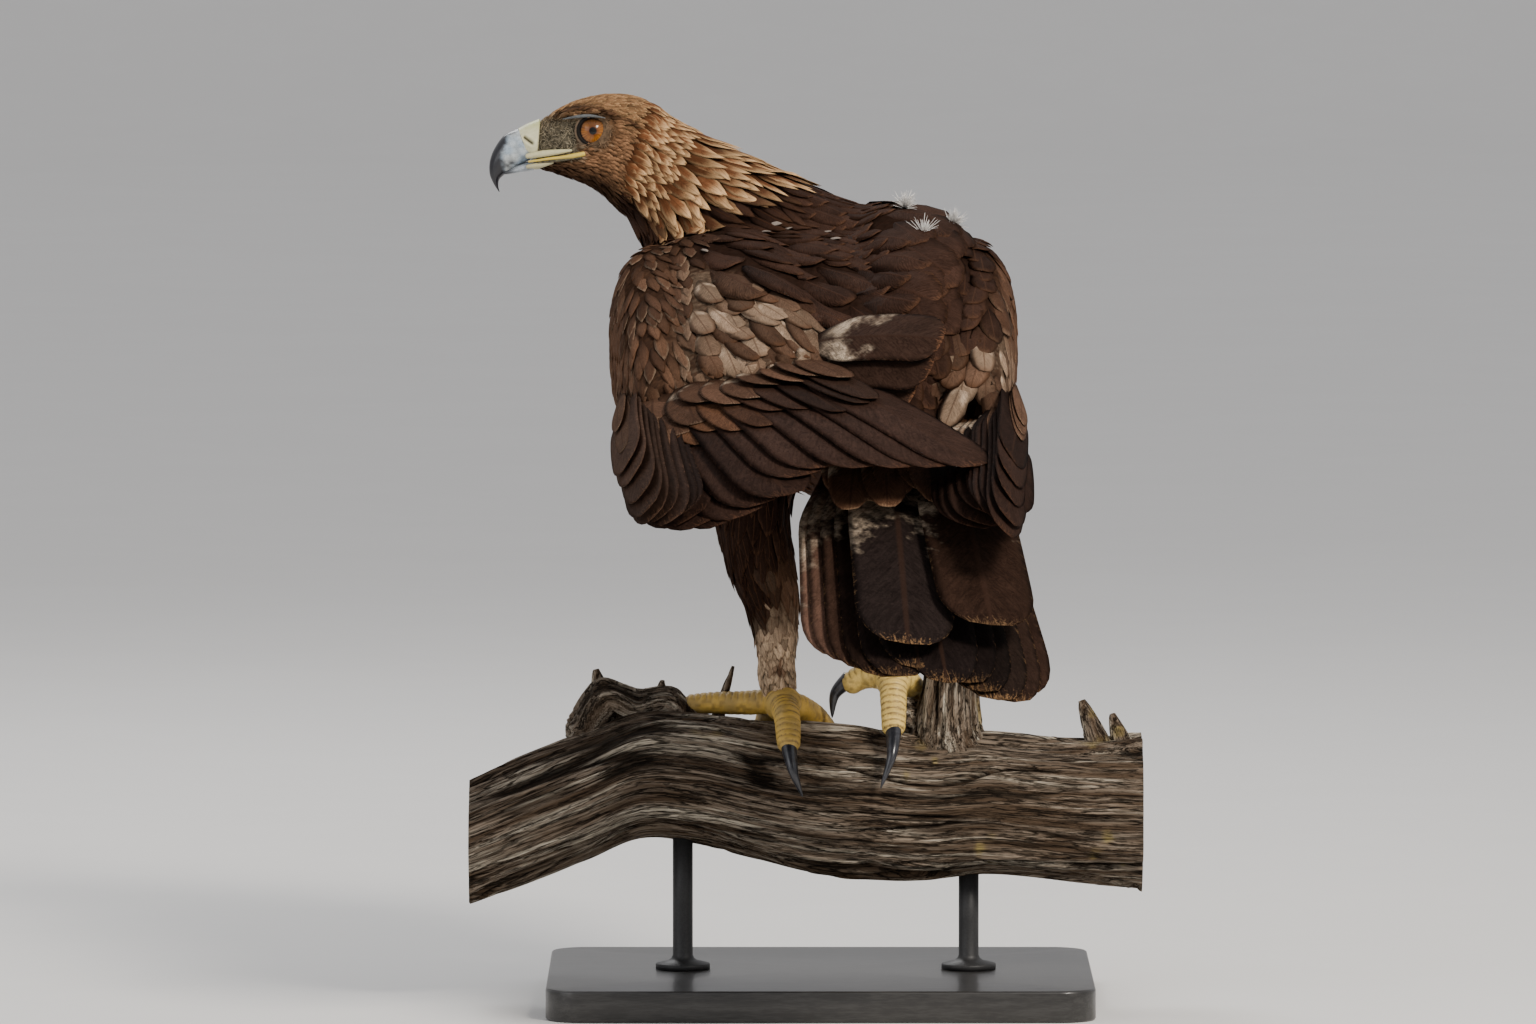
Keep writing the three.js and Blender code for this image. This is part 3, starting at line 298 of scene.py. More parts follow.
def tube(rings: Array, poles: tuple[Array, Array]) -> Shell:
    """Joins rings of points into a closed skin with a fan of triangles to a pole at each end.

    Args:
        rings: Points by ring and by place round the ring.
        poles: The points that close the first and the last ring.

    Returns:
        The shell, with a UV map "Run" of the share round and the share along.
    """
    count, sides = rings.shape[:2]
    i, j = np.meshgrid(np.arange(count - 1), np.arange(sides), indexing="ij")
    after = (j + 1) % sides
    quads = np.stack([i * sides + j, i * sides + after, (i + 1) * sides + after, (i + 1) * sides + j], -1)
    around, along = np.stack([j, j + 1, j + 1, j], -1) / sides, np.stack([i, i, i + 1, i + 1], -1) / count
    row = np.arange(sides)
    first, last = count * sides, count * sides + 1
    tail = (count - 1) * sides
    none = np.full(sides, -1)
    fan = np.stack([row, np.full(sides, first), (row + 1) % sides, none], -1)
    end = np.stack([tail + row, tail + (row + 1) % sides, np.full(sides, last), none], -1)
    fan_uv = np.stack([np.stack([row, row + 0.5, row + 1, row], -1) / sides, np.zeros((sides, 4))], -1)
    end_uv = np.stack([np.stack([row, row + 1, row + 0.5, row], -1) / sides, np.ones((sides, 4))], -1)
    uv = np.concatenate([np.stack([around, along], -1).reshape(-1, 4, 2), fan_uv, end_uv])
    points = np.concatenate([rings.reshape(-1, 3), np.stack(poles)])
    return Shell(points, np.concatenate([quads.reshape(-1, 4), fan, end]), {"Run": uv}).outward()


@dataclass(frozen=True)
class Loft:
    """A body carried smoothly through stations, each a middle with two half axes.

    Attributes:
        at: The middles.
        across: The half axes at angle 0.
        up: The half axes at angle 90 degrees.
        square: 2 makes rings round, and more makes them boxier.
        ends: How far a rounded cap stands out at the start and at the end.
    """

    at: Array
    across: Array
    up: Array
    square: float = 2.0
    ends: tuple[float, float] = (0.0, 0.0)

    def points(self, t: Array, angle: Array, grow: float = 0.0) -> Array:
        """Middle + across * bent cosine + up * bent sine; bent is sign * |value| ** (2 / square).

        Args:
            t: Places along, from 0 to 1.
            angle: Angles round, in radians, that broadcast with t.
            grow: What both half axes are longer by.

        Returns:
            The points.
        """
        power = 2 / self.square
        total = smooth(self.at, t)
        for axis, wave in ((self.across, np.cos(angle)), (self.up, np.sin(angle))):
            reach = smooth(axis, t)
            reach = reach * (1 + grow / np.linalg.norm(reach, axis=-1, keepdims=True))
            total = total + reach * (np.sign(wave) * np.abs(wave) ** power)[..., None]
        return total

    def closed(self, grow: float = 0.0, rows: int = 32, sides: int = 40) -> Shell:
        """The body as a closed shell, its caps quarter ellipses: cosine wide and sine far out.

        Args:
            grow: What the body is fatter by.
            rows: Rings along it.
            sides: Points round it.

        Returns:
            The shell.
        """
        rings = self.points(np.linspace(0, 1, rows)[:, None], circle(sides)[None], grow)
        caps, poles = [], []
        for end, inner, reach in ((0, 1, self.ends[0]), (-1, -2, self.ends[1])):
            middle = rings[end].mean(0)
            out = unit(middle - rings[inner].mean(0)) * max(reach + grow, 0) * (reach > 0)
            turns = np.linspace(0, math.pi / 2, 6)[1:-1] if reach > 0 else np.empty(0)
            cap = [middle + (rings[end] - middle) * math.cos(a) + out * math.sin(a) for a in turns]
            caps.append(cap)
            poles.append(middle + out)
        every = [*caps[0][::-1], *rings, *caps[1]]
        return tube(np.stack(every), (poles[0], poles[1]))


def along(rows: object, hint: tuple[float, float, float] = (0, 0, 1), **more: object) -> Loft:
    """A loft whose stations are square to its run; across is run x hint, and up is across x run.

    Args:
        rows: A point, half width and half height for each station.
        hint: What counts as up.
        more: The loft's other values.

    Returns:
        The loft.
    """
    at = np.array([row[0] for row in rows], float)
    wide, high = np.array([row[1:] for row in rows], float).T
    run = unit(np.concatenate([at[1:], at[-1:]]) - np.concatenate([at[:1], at[:-1]]))
    across = unit(np.cross(run, hint))
    return Loft(at, across * wide[:, None], unit(np.cross(across, run)) * high[:, None], **more)


def limb(points: object, radii: object, hint: tuple[float, float, float] = (0, 0, 1),
         caps: float = 0.8) -> Loft:
    """A round limb through points, with a radius at each and rounded ends."""
    rows = [(p, r, r) for p, r in zip(points, radii)]
    return along(rows, hint, ends=(radii[0] * caps, radii[-1] * caps))


def profile(top: tuple, low: tuple, half_width: float, depth: float = HEAD_DEPTH) -> tuple:
    """A head or neck station between its upper and lower outline, seen in profile."""
    a, b = seen([top[0], depth, top[1]]), seen([low[0], depth, low[1]])
    return (a + b) / 2, np.array([0, -half_width, 0]), (a - b) / 2


def profiles(rows: list[tuple], **more: object) -> Loft:
    """A loft through head or neck stations."""
    at, across, up = (np.array(v) for v in zip(*rows))
    return Loft(at, across, up, **more)


# Upper outline, lower outline and half width, and the depth where it isn't the head's.
HEAD_ROWS = [profile(*row) for row in (
    ((-198, 618.5), (-201, 583), 12), ((-187, 626), (-190, 581), 17), ((-174, 632.5), (-179, 577.5), 22.5),
    ((-160, 636.5), (-168, 573.5), 27.5), ((-145, 638.2), (-158, 568.5), 31.5),
    ((-128, 636), (-149, 561), 34.5), ((-112, 628.5), (-140, 551.5), 36.5),
)]
NECK_ROWS = HEAD_ROWS[-1:] + [profile(*row) for row in (
    ((-95, 618.5), (-133, 541.5), 39, 122), ((-76, 608), (-127, 531), 44, 124),
    ((-52, 596), (-117, 513), 53, 122), ((-22, 580), (-98, 486), 64, 114), ((8, 560), (-66, 458), 72, 100),
)]
BILL_ROWS = [profile(*row) for row in (
    ((-212.7, 612.5), (-204, 590.5), 10.5), ((-222.7, 607.5), (-211.5, 587), 9.4),
    ((-229.4, 598.6), (-217.5, 583.6), 7.6), ((-232.8, 589.5), (-222.2, 580), 5.8),
    ((-233, 580.5), (-226, 576.4), 3.9), ((-230.3, 573.5), (-226.8, 572), 2.1),
    ((-226.6, 567.9), (-225.9, 567.7), 0.5),
)]
LOWER_BILL_ROWS = [profile(*row) for row in (
    ((-201, 590.5), (-202, 582.5), 9), ((-210, 588), (-210, 581.2), 7.8),
    ((-218, 584.5), (-218, 580.2), 5.8), ((-225, 581.2), (-225, 579.6), 3),
)]
CERE_ROWS = [profile((-198, 619.2), (-200.5, 587.5), 12.6), profile((-206, 616), (-202.5, 588.5), 11.8),
             BILL_ROWS[0]]
TORSO_ROWS = [  # forward, middle height, half width, half height
    (158, 496, 42, 44), (135, 486, 74, 68), (90, 466, 92, 82), (30, 444, 95, 84),
    (-30, 424, 88, 76), (-90, 408, 68, 56), (-135, 398, 46, 34),
]
WING_ROWS = {  # across, depth, height, half thickness, half height
    "left": [(-88, 150, 488, 16, 28), (-101, 118, 486, 32, 48), (-111, 60, 472, 38, 62),
             (-113, 0, 450, 37, 66), (-110, -70, 426, 32, 52), (-103, -122, 404, 27, 32)],
    "right": [(80, 138, 492, 16, 28), (91, 106, 490, 32, 48), (101, 50, 476, 37, 62),
              (105, -10, 452, 36, 64), (106, -75, 428, 30, 50), (106, -124, 406, 25, 30)],
}
SHOULDER_ROWS = {
    "left": [(-66, 118, 505, 38, 34), (-58, 60, 502, 48, 44), (-44, -10, 478, 52, 46),
             (-34, -76, 448, 48, 38), (-31, -122, 424, 44, 28)],
    "right": [(44, 118, 524, 46, 40), (60, 60, 512, 52, 48), (72, -10, 484, 48, 46),
              (76, -76, 444, 42, 34), (78, -122, 418, 36, 24)],
}
THIGH_ROWS = {
    "left": [(-46, 22, 384, 38, 52), (-47, 8, 338, 28, 42), (-41, -5, 304, 25, 33),
             (-34, -12, 280, 21, 25), (-31, -14, 258, 17, 19)],
    "right": [(62, 36, 384, 38, 52), (62, 22, 338, 29, 42), (60, 4, 304, 25, 33),
              (57, -6, 286, 21, 25), (55, -10, 270, 17, 19)],
}
TARSUS_ROWS = {
    "left": [(-31, -14, 258, 17, 19), (-30.5, -10, 241, 14.7, 15), (-30, -4, 224, 15, 15),
             (-27, -1, 214, 13, 13)],
    "right": [(55, -10, 270, 17, 19), (54, -9, 256, 14.7, 15), (52.5, -4, 241, 15, 15), (51, 0, 231, 13, 13)],
}
RUMP_ROWS = [(50, -122, 382, 46, 20), (52, -150, 374, 50, 15), (54, -190, 354, 46, 4)]
MANTLE_ROWS = [(-40, 112, 548, 40, 39), (0, 98, 530, 50, 38), (45, 80, 518, 52, 35), (85, 60, 508, 44, 33)]
SADDLE_ROWS = [(-84, 122, 494, 38, 38), (-82, 60, 488, 44, 54), (-78, 0, 464, 46, 58),
               (-72, -70, 437, 44, 46), (-68, -118, 414, 38, 33)]
BROW_ROWS = [(-186, 104, 619.5, 2.4), (-172, 98, 623.5, 3.6), (-158, 95, 624, 4.2), (-145, 95, 620.5, 3.6),
             (-134, 95, 613, 2.4)]
EYE = seen([-159.6, HEAD_DEPTH, 611.9])
EYE_SIDE = 18.0  # of each eye's centre from the head's middle plane
CORE_SINK = 4.0  # how far the wings' cores lie below their feathers


def rows_of(table: list[tuple]) -> list[tuple]:
    """Stations for along() from rows of across, depth, height and two half sizes."""
    return [(seen(row[:3]), row[3], row[4]) for row in table]


class Part(Enum):
    """The skin's regions, each with its loft."""

    HEAD = 0
    NECK = 1
    TORSO = 2
    WING_LEFT = 3
    WING_RIGHT = 4
    SHOULDER_LEFT = 5
    SHOULDER_RIGHT = 6
    THIGH_LEFT = 7
    THIGH_RIGHT = 8
    TARSUS_LEFT = 9
    TARSUS_RIGHT = 10
    RUMP = 11
    MANTLE = 12
    SADDLE = 13

    @property
    def loft(self) -> Loft:
        """The region's own loft.

        Returns:
            The loft, in the CAD model's frame.
        """
        side = "left" if self.name.endswith("LEFT") else "right"
        kind = self.name.split("_")[0]
        if kind == "HEAD":
            return profiles(HEAD_ROWS, square=2.2)
        if kind == "NECK":
            return profiles(NECK_ROWS)
        if kind == "TORSO":
            x, y = STANCE
            rows = [((x - ahead * math.sin(HEADING), y + ahead * math.cos(HEADING), up), *size)
                    for ahead, up, *size in TORSO_ROWS]
            return along(rows, square=2.2, ends=(16, 22))
        table, more = {
            "WING": (WING_ROWS, {"square": 2.4, "ends": (14, 0.1)}),
            "SHOULDER": (SHOULDER_ROWS, {"square": 2.2, "ends": (16, 0.1)}),
            "THIGH": (THIGH_ROWS, {"hint": (0, 1, 0), "ends": (12, 0.1)}),
            "TARSUS": (TARSUS_ROWS, {"hint": (0, 1, 0)}),
            "MANTLE": (MANTLE_ROWS, {"square": 2.2, "ends": (10, 14)}),
            "SADDLE": (SADDLE_ROWS, {"square": 2.2, "ends": (14, 0.1)}),
            "RUMP": (RUMP_ROWS, {"square": 4}),
        }[kind]
        return along(rows_of(table[side] if isinstance(table, dict) else table), **more)

    @property
    def coat_depth(self) -> float:
        """How far the skin lies under the region's outline."""
        depths = {"HEAD": 2.0, "WING": CORE_SINK + 1.0, "SHOULDER": CORE_SINK + 1.0, "TARSUS": 2.6}
        return depths.get(self.name.split("_")[0], 4.0)


class Graph:
    """Adds and links the nodes of one node tree."""

    def __init__(self, tree: bpy.types.NodeTree) -> None:
        """Keeps the tree."""
        self.tree = tree

    def add(self, kind: str, inputs: dict | None = None, **settings: object) -> bpy.types.Node:
        """Adds a node.

        Args:
            kind: The node's type, without its ShaderNode prefix.
            inputs: Values or sockets by the input's name or number.
            settings: The node's own properties.

        Returns:
            The node.
        """
        node = self.tree.nodes.new(f"ShaderNode{kind}")
        for name, value in settings.items():
            setattr(node, name, value)
        for name, value in (inputs or {}).items():
            if isinstance(value, bpy.types.NodeSocket):
                self.tree.links.new(value, node.inputs[name])
            else:
                node.inputs[name].default_value = value
        return node

    def maths(self, operation: str, *values: object) -> Socket:
        """A Math node's result."""
        return self.add("Math", dict(enumerate(values)), operation=operation).outputs[0]

    def times(self, a: object, b: object) -> Socket:
        """The product a * b."""
        return self.maths("MULTIPLY", a, b)

    def fit(self, value: object, slope: object, base: object) -> Socket:
        """The line value * slope + base."""
        return self.maths("MULTIPLY_ADD", value, slope, base)

    def rest(self, value: object) -> Socket:
        """What a value leaves of 1."""
        return self.maths("SUBTRACT", 1.0, value)

    def vector(self, x: object, y: object, z: object) -> Socket:
        """A vector, or a colour, of three values."""
        return self.add("CombineXYZ", {0: x, 1: y, 2: z}).outputs[0]

    def step(self, value: Socket, low: object, high: object) -> Socket:
        """A smooth step of a value from 0 at low to 1 at high."""
        node = self.add("MapRange", {0: value, 1: low, 2: high}, interpolation_type="SMOOTHSTEP")
        return node.outputs[0]

    def mix(self, share: object, a: object, b: object, blend_type: str = "MIX") -> Socket:
        """A colour mix of a and b."""
        node = self.add("Mix", {0: share, 6: a, 7: b}, data_type="RGBA", blend_type=blend_type)
        return node.outputs[2]

    def grain(self, vector: object, scale: float, detail: float = 3.0, rough: float = 0.6) -> Socket:
        """A noise texture's value, 0 to 1."""
        inputs = {"Vector": vector, "Scale": scale, "Detail": detail, "Roughness": rough}
        return self.add("TexNoise", inputs).outputs[0]

    def place(self, scale: tuple[float, float, float] = (1, 1, 1)) -> Socket:
        """Object coordinates, stretched."""
        where = self.add("TexCoord").outputs["Object"]
        return self.add("Mapping", {"Vector": where, "Scale": scale}).outputs[0]

    def surface(self, shader: bpy.types.Node, colour: Socket, bump: dict | None, **values: float) -> None:
        """Dresses a shader.

        Args:
            shader: The Principled shader.
            colour: Its base colour.
            bump: The Bump node's inputs, where it has one.
            values: Its other values by socket, with _ for each space.
        """
        self.tree.links.new(colour, shader.inputs["Base Color"])
        if bump:
            self.tree.links.new(self.add("Bump", bump).outputs[0], shader.inputs["Normal"])
        for name, value in values.items():
            shader.inputs[name.replace("_", " ")].default_value = value


def shader_group(name: str, inputs: dict[str, str], outputs: dict[str, str]) -> tuple:
    """Starts a shader node group.

    Args:
        name: The group's name.
        inputs: Socket kinds by name.
        outputs: Socket kinds by name.

    Returns:
        The tree, its graph, the input node and the output node.
    """
    tree = bpy.data.node_groups.new(name, "ShaderNodeTree")
    for way, sockets in (("INPUT", inputs), ("OUTPUT", outputs)):
        for label, kind in sockets.items():
            tree.interface.new_socket(label, in_out=way, socket_type=f"NodeSocket{kind}")
    start, end = tree.nodes.new("NodeGroupInput"), tree.nodes.new("NodeGroupOutput")
    return tree, Graph(tree), start, end


class Effects:
    """The shader node groups that several materials use."""

    def __init__(self) -> None:
        """Builds each group once."""
        self.vane = self.build_vane()
        self.mottle = self.build_mottle()

    @staticmethod
    def build_vane() -> bpy.types.NodeTree:
        """A feather's pattern: barbs slant from the shaft, edges and tip are fringed, the base pale, and the
        root end darkened as painted shade.

        Across is twice the map's first number less one, without its sign; Along is its second.

        Returns:
            The group, which puts out Colour and Height.
        """
        inputs = {"Barbs": "Float", "Edge From": "Float", "Edge To": "Float", "Tip From": "Float",
                  "Shaft": "Color", "Pale": "Color"}
        tree, g, start, end = shader_group("feather_vane", inputs, {"Colour": "Color", "Height": "Float"})
        given = start.outputs
        split = g.add("SeparateXYZ", {0: g.add("UVMap", uv_map="Vane").outputs[0]})
        across, run = g.maths("ABSOLUTE", g.fit(split.outputs[0], 2.0, -1.0)), split.outputs[1]
        ground, fringe = (g.add("Attribute", attribute_name=n) for n in ("Ground", "Fringe"))
        where = g.place()
        slant = g.maths("SUBTRACT", run, g.times(across, 0.22))
        wobble = g.grain(where, 90.0, 2.0)
        barbs = g.maths("SINE", g.times(g.fit(slant, given["Barbs"], g.times(wobble, 3.0)), FULL_TURN))
        streaks = g.vector(g.times(slant, 34.0), g.times(across, 1.5), g.times(wobble, 6.0))
        streak = g.grain(streaks, 1.7, 4.0, 0.7)
        patch = g.grain(where, 55.0, 3.0)
        tone = g.maths("MAXIMUM", g.fit(streak, 2.6, -0.28), 0.35)
        # painted shade: each feather darkened towards its root, where the feathers over it would shade it
        tone = g.times(tone, g.fit(g.step(run, 0.0, 0.55), 0.6, 0.4))
        tone = g.times(tone, g.fit(patch, 1.0, 0.5))
        grey = g.vector(tone, tone, tone)
        colour = g.mix(1.0, ground.outputs["Color"], grey, "MULTIPLY")
        inner = g.fit(g.rest(across), 0.3, run)
        reach = g.fit(fringe.outputs["Alpha"], -0.75, g.fit(patch, 0.9, inner))
        base = g.rest(g.step(reach, 0.32, 0.64))
        spots = g.step(g.fit(streak, 0.5, g.grain(where, 150.0, 2.0)), 0.62, 0.84)
        base = g.times(base, g.step(g.fit(patch, 0.2, run), 0.26, 0.42))
        pale = g.times(g.times(base, g.fit(spots, 0.5, 0.5)), g.step(fringe.outputs["Alpha"], 0.0, 0.2))
        colour = g.mix(pale, colour, g.mix(1.0, given["Pale"], grey, "MULTIPLY"))
        ragged = g.maths("SUBTRACT", streak, 0.5)
        side = g.step(g.fit(ragged, 0.5, across), given["Edge From"], given["Edge To"])
        side = g.times(side, g.step(run, 0.15, 0.8))
        tip = g.step(g.fit(ragged, 0.25, run), given["Tip From"], 1.02)
        edge = g.times(g.maths("MAXIMUM", side, tip), ground.outputs["Alpha"])
        colour = g.mix(edge, colour, fringe.outputs["Color"])
        shaft = g.rest(g.step(across, 0.02, 0.09))
        colour = g.mix(g.times(shaft, 0.55), colour, given["Shaft"])
        height = g.fit(streak, 1.2, g.maths("ADD", g.times(barbs, 0.5), g.times(shaft, 1.5)))
        tree.links.new(colour, end.inputs["Colour"])
        tree.links.new(height, end.inputs["Height"])
        return tree

    @staticmethod
    def build_mottle() -> bpy.types.NodeTree:
        """Fine and coarse noise over a ground colour, on stretched Object coordinates.

        Returns:
            The group, which puts out Colour and Height.
        """
        inputs = {"Ground": "Color", "Spot": "Color", "Amount": "Float", "Scale": "Float", "Vector": "Vector"}
        tree, g, start, end = shader_group("mottle", inputs, {"Colour": "Color", "Height": "Float"})
        given = start.outputs
        fine = g.grain(given["Vector"], g.times(given["Scale"], 4.0), 4.0, 0.65)
        coarse = g.grain(given["Vector"], given["Scale"], 3.0)
        share = g.times(g.step(g.fit(fine, 0.5, coarse), 0.6, 0.95), given["Amount"])
        tree.links.new(g.mix(share, given["Ground"], given["Spot"]), end.inputs["Colour"])
        tree.links.new(g.fit(fine, 0.6, coarse), end.inputs["Height"])
        return tree


def material_graph(name: str) -> tuple[bpy.types.Material, Graph, bpy.types.Node]:
    """Starts a material.

    Args:
        name: The material's name.

    Returns:
        The material, its graph and its Principled shader.
    """
    made = bpy.data.materials.new(name)
    made.use_nodes = True
    return made, Graph(made.node_tree), made.node_tree.nodes["Principled BSDF"]


@dataclass(frozen=True)
class FeatherFinish:
    """How one kind of feather looks.

    Attributes:
        name: The material's name.
        barbs: Barbs along the feather.
        edge: Where the fringe starts and is full, as shares of the half width.
        tip: Where the tip's fringe starts, as a share of the length.
        shaft: The shaft's colour.
        pale: The colour of the pale base.
        roughness: The surface's roughness.
        relief: Strength of the bump.
    """

    name: str
    barbs: float = 40.0
    edge: tuple[float, float] = (0.92, 1.1)
    tip: float = 0.94
    shaft: tuple[float, float, float] = (0.075, 0.035, 0.018)
    pale: tuple[float, float, float] = (0.66, 0.52, 0.38)
    roughness: float = 0.7
    relief: float = 0.4

    def make(self, effects: Effects) -> bpy.types.Material:
        """Builds the material, whose colour and bump come from the vane group.

        Args:
            effects: The shared groups.

        Returns:
            The material.
        """
        made, g, shader = material_graph(self.name)
        inputs = {"Barbs": self.barbs, "Edge From": self.edge[0], "Edge To": self.edge[1],
                  "Tip From": self.tip, "Shaft": (*self.shaft, 1), "Pale": (*self.pale, 1)}
        vane = g.add("Group", inputs, node_tree=effects.vane).outputs
        bump = {"Strength": self.relief, "Distance": BARB_RELIEF, "Height": vane["Height"]}
        g.surface(shader, vane["Colour"], bump, Roughness=self.roughness, Specular_IOR_Level=FEATHER_GLOSS)
        return made


@dataclass(frozen=True)
class HardFinish:
    """Horn, bare skin, wood or metal: a painted ground colour with mottling and a fine bump.

    Attributes:
        name: The material's name.
        spot: The mottling's colour.
        amount: How much of it shows.
        scale: Mottles a metre.
        roughness: The surface's roughness.
        relief: Strength of the bump.
        depth: Height of the bump in metres.
        coat: Weight of a clear gloss.
        gloss: The shader's level of plain reflection.
        stretch: How the pattern's coordinates are stretched.
        own_map: Whether the pattern is cracked and follows the point colour "Grain", not Object coordinates.
        ground: The ground colour where the piece has no point colour "Ground".
    """

    name: str
    spot: tuple[float, float, float]
    amount: float = 0.5
    scale: float = 120.0
    roughness: float = 0.5
    relief: float = 0.3
    depth: float = 0.0008
    coat: float = 0.0
    gloss: float = 0.4
    stretch: tuple[float, float, float] = (1, 1, 1)
    own_map: bool = False
    ground: tuple[float, float, float] | None = None

    def make(self, effects: Effects) -> bpy.types.Material:
        """Builds the material, whose colour and bump come from the mottle group.

        Args:
            effects: The shared groups.

        Returns:
            The material.
        """
        made, g, shader = material_graph(self.name)
        if self.own_map:
            vector = g.add("Attribute", attribute_name="Grain").outputs["Vector"]
            vector = g.add("Mapping", {"Vector": vector, "Scale": self.stretch}).outputs[0]
        else:
            vector = g.place(self.stretch)
        painted = g.add("Attribute", attribute_name="Ground").outputs["Color"]
        inputs = {"Ground": (*self.ground, 1) if self.ground else painted, "Spot": (*self.spot, 1),
                  "Amount": self.amount, "Scale": self.scale, "Vector": vector}
        mottle = g.add("Group", inputs, node_tree=effects.mottle)
        colour, height = mottle.outputs["Colour"], mottle.outputs["Height"]
        # painted shade: crack lines darkened nearly to black
        for scale, share in ((0.5, 0.9), (1.3, 0.5)) if self.own_map else ():
            line = g.maths("ABSOLUTE", g.maths("SUBTRACT", g.grain(vector, scale, 4.0, 0.6), 0.5))
            line = g.times(g.rest(g.step(line, 0.003, 0.028)), share)
            colour = g.mix(line, colour, (0.012, 0.008, 0.005, 1))
            height = g.fit(line, -1.6, height)
        bump = {"Strength": self.relief, "Distance": self.depth, "Height": height}
        g.surface(shader, colour, bump, Roughness=self.roughness, Specular_IOR_Level=self.gloss,
                  Coat_Weight=self.coat, Coat_Roughness=0.15)
        return made


@dataclass(frozen=True)
class EyeFinish:
    """The eye's rings by distance from its axis, in millimetres: pupil, iris, rim and white, with the brow's
    shadow painted over the iris's upper part.

    Attributes:
        name: The material's name.
        pupil: Radius of the pupil.
        iris: Radius of the iris.
    """

    name: str = "wet_eye"
    pupil: float = 2.7
    iris: float = 9.2

    def make(self, effects: Effects) -> bpy.types.Material:
        """Builds the material; distance is the length of the Object coordinates across the eye's axis.

        Args:
            effects: The shared groups, none of which it needs.

        Returns:
            The material.
        """
        made, g, shader = material_graph(self.name)
        where = g.add("TexCoord").outputs["Object"]
        offset = g.add("VectorMath", {0: where, 1: tuple(EYE * MM)}, operation="SUBTRACT").outputs[0]
        flat = g.add("VectorMath", {0: offset, 1: (1, 0, 1)}, operation="MULTIPLY").outputs[0]
        far = g.add("VectorMath", {0: flat}, operation="LENGTH").outputs["Value"]
        rays = g.add("VectorMath", {0: flat}, operation="NORMALIZE").outputs[0]
        ray = g.grain(rays, 9.0, 4.0)
        ring = g.fit(g.maths("SUBTRACT", ray, 0.5), 0.0012, far)
        iris = g.mix(g.step(ring, self.pupil * MM, self.iris * 0.62 * MM), (0.12, 0.036, 0.007, 1),
                     (0.36, 0.135, 0.02, 1))
        iris = g.mix(g.step(ray, 0.35, 0.7), iris, (0.15, 0.046, 0.009, 1))
        # painted shadow of the brow: the iris darkened towards its top
        up = g.add("SeparateXYZ", {0: offset}).outputs[2]
        above = g.step(up, -0.1 * self.iris * MM, 0.8 * self.iris * MM)
        iris = g.mix(g.times(above, 0.85), iris, (0.04, 0.016, 0.007, 1))
        outside = g.step(ring, self.iris * 0.84 * MM, self.iris * 0.97 * MM)
        rim = g.mix(outside, iris, (0.006, 0.004, 0.003, 1))
        pupil = g.step(far, (self.pupil - 0.25) * MM, (self.pupil + 0.2) * MM)
        g.surface(shader, g.mix(pupil, (0.002, 0.002, 0.002, 1), rim), None, Roughness=0.4,
                  Specular_IOR_Level=0.1, Coat_Weight=0.55, Coat_Roughness=0.02)
        return made


class Workshop:
    """Makes finished pieces: objects with a material, which hide the CAD nodes that they replace."""

    def __init__(self) -> None:
        """Builds the shared effects."""
        self.effects = Effects()
        self.made: dict[str, bpy.types.Material] = {}

    def material(self, finish: FeatherFinish | HardFinish | EyeFinish) -> bpy.types.Material:
        """The finish's material, made once.

        Args:
            finish: The finish.

        Returns:
            The material.
        """
        if finish.name not in self.made:
            self.made[finish.name] = finish.make(self.effects)
        return self.made[finish.name]

    def piece(self, name: str, shell: Shell, finish: FeatherFinish | HardFinish | EyeFinish, slot: str,
              *nodes: str) -> None:
        """Puts a finished piece into the scene.

        Args:
            name: The piece's name.
            shell: Its shape.
            finish: Its finish.
            slot: The record's material slot; not used.
            nodes: The CAD nodes that it replaces.
        """
        thing = placed(name, shell.mesh(name))
        thing.data.materials.append(self.material(finish))
        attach(thing, "root")
        if nodes:
            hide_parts(*nodes)
        LOG.info("%s: %d triangles", name, (shell.faces >= 0).sum() - 2 * len(shell.faces))


def remeshed(shell: Shell, voxel: float, rounds: int) -> tuple[Array, Array]:
    """One skin round overlapping shells: voxel remesh, then each point drawn to its neighbours' mean.

    Args:
        shell: The overlapping shells.
        voxel: The voxel's size in millimetres.
        rounds: Smoothing rounds.

    Returns:
        The points and the faces.
    """
    thing = placed("raw", shell.mesh("raw"))
    change = thing.modifiers.new("voxels", "REMESH")
    change.mode, change.voxel_size = "VOXEL", voxel * MM
    mesh = thing.evaluated_get(bpy.context.evaluated_depsgraph_get()).to_mesh()
    points, loops = np.empty(len(mesh.vertices) * 3), np.empty(len(mesh.loops), int)
    starts, edges = np.empty(len(mesh.polygons), int), np.empty(len(mesh.edges) * 2, int)
    mesh.vertices.foreach_get("co", points)
    mesh.loops.foreach_get("vertex_index", loops)
    mesh.polygons.foreach_get("loop_start", starts)
    mesh.edges.foreach_get("vertices", edges)
    bpy.data.objects.remove(thing)
    sizes = np.diff(np.append(starts, len(loops)))
    faces = np.full((len(starts), 4), -1)
    for corner in range(4):
        has = sizes > corner
        faces[has, corner] = loops[starts[has] + corner]
    points = points.reshape(-1, 3) / MM
    for _ in range(rounds):
        points += (neighbour_mean(points, edges.reshape(-1, 2)) - points) * 0.5
    return points, faces


def neighbour_mean(values: Array, edges: Array) -> Array:
    """For each point, the mean of the values at the other ends of its edges.

    Args:
        values: Rows of numbers, one for each point.
        edges: Pairs of point numbers.

    Returns:
        The means, in the same rows.
    """
    (a, b), n = edges.T, len(values)
    count = np.bincount(edges.ravel(), minlength=n)[:, None]
    total = [np.bincount(a, column[b], n) + np.bincount(b, column[a], n) for column in values.T]
    return np.stack(total, -1) / np.maximum(count, 1)


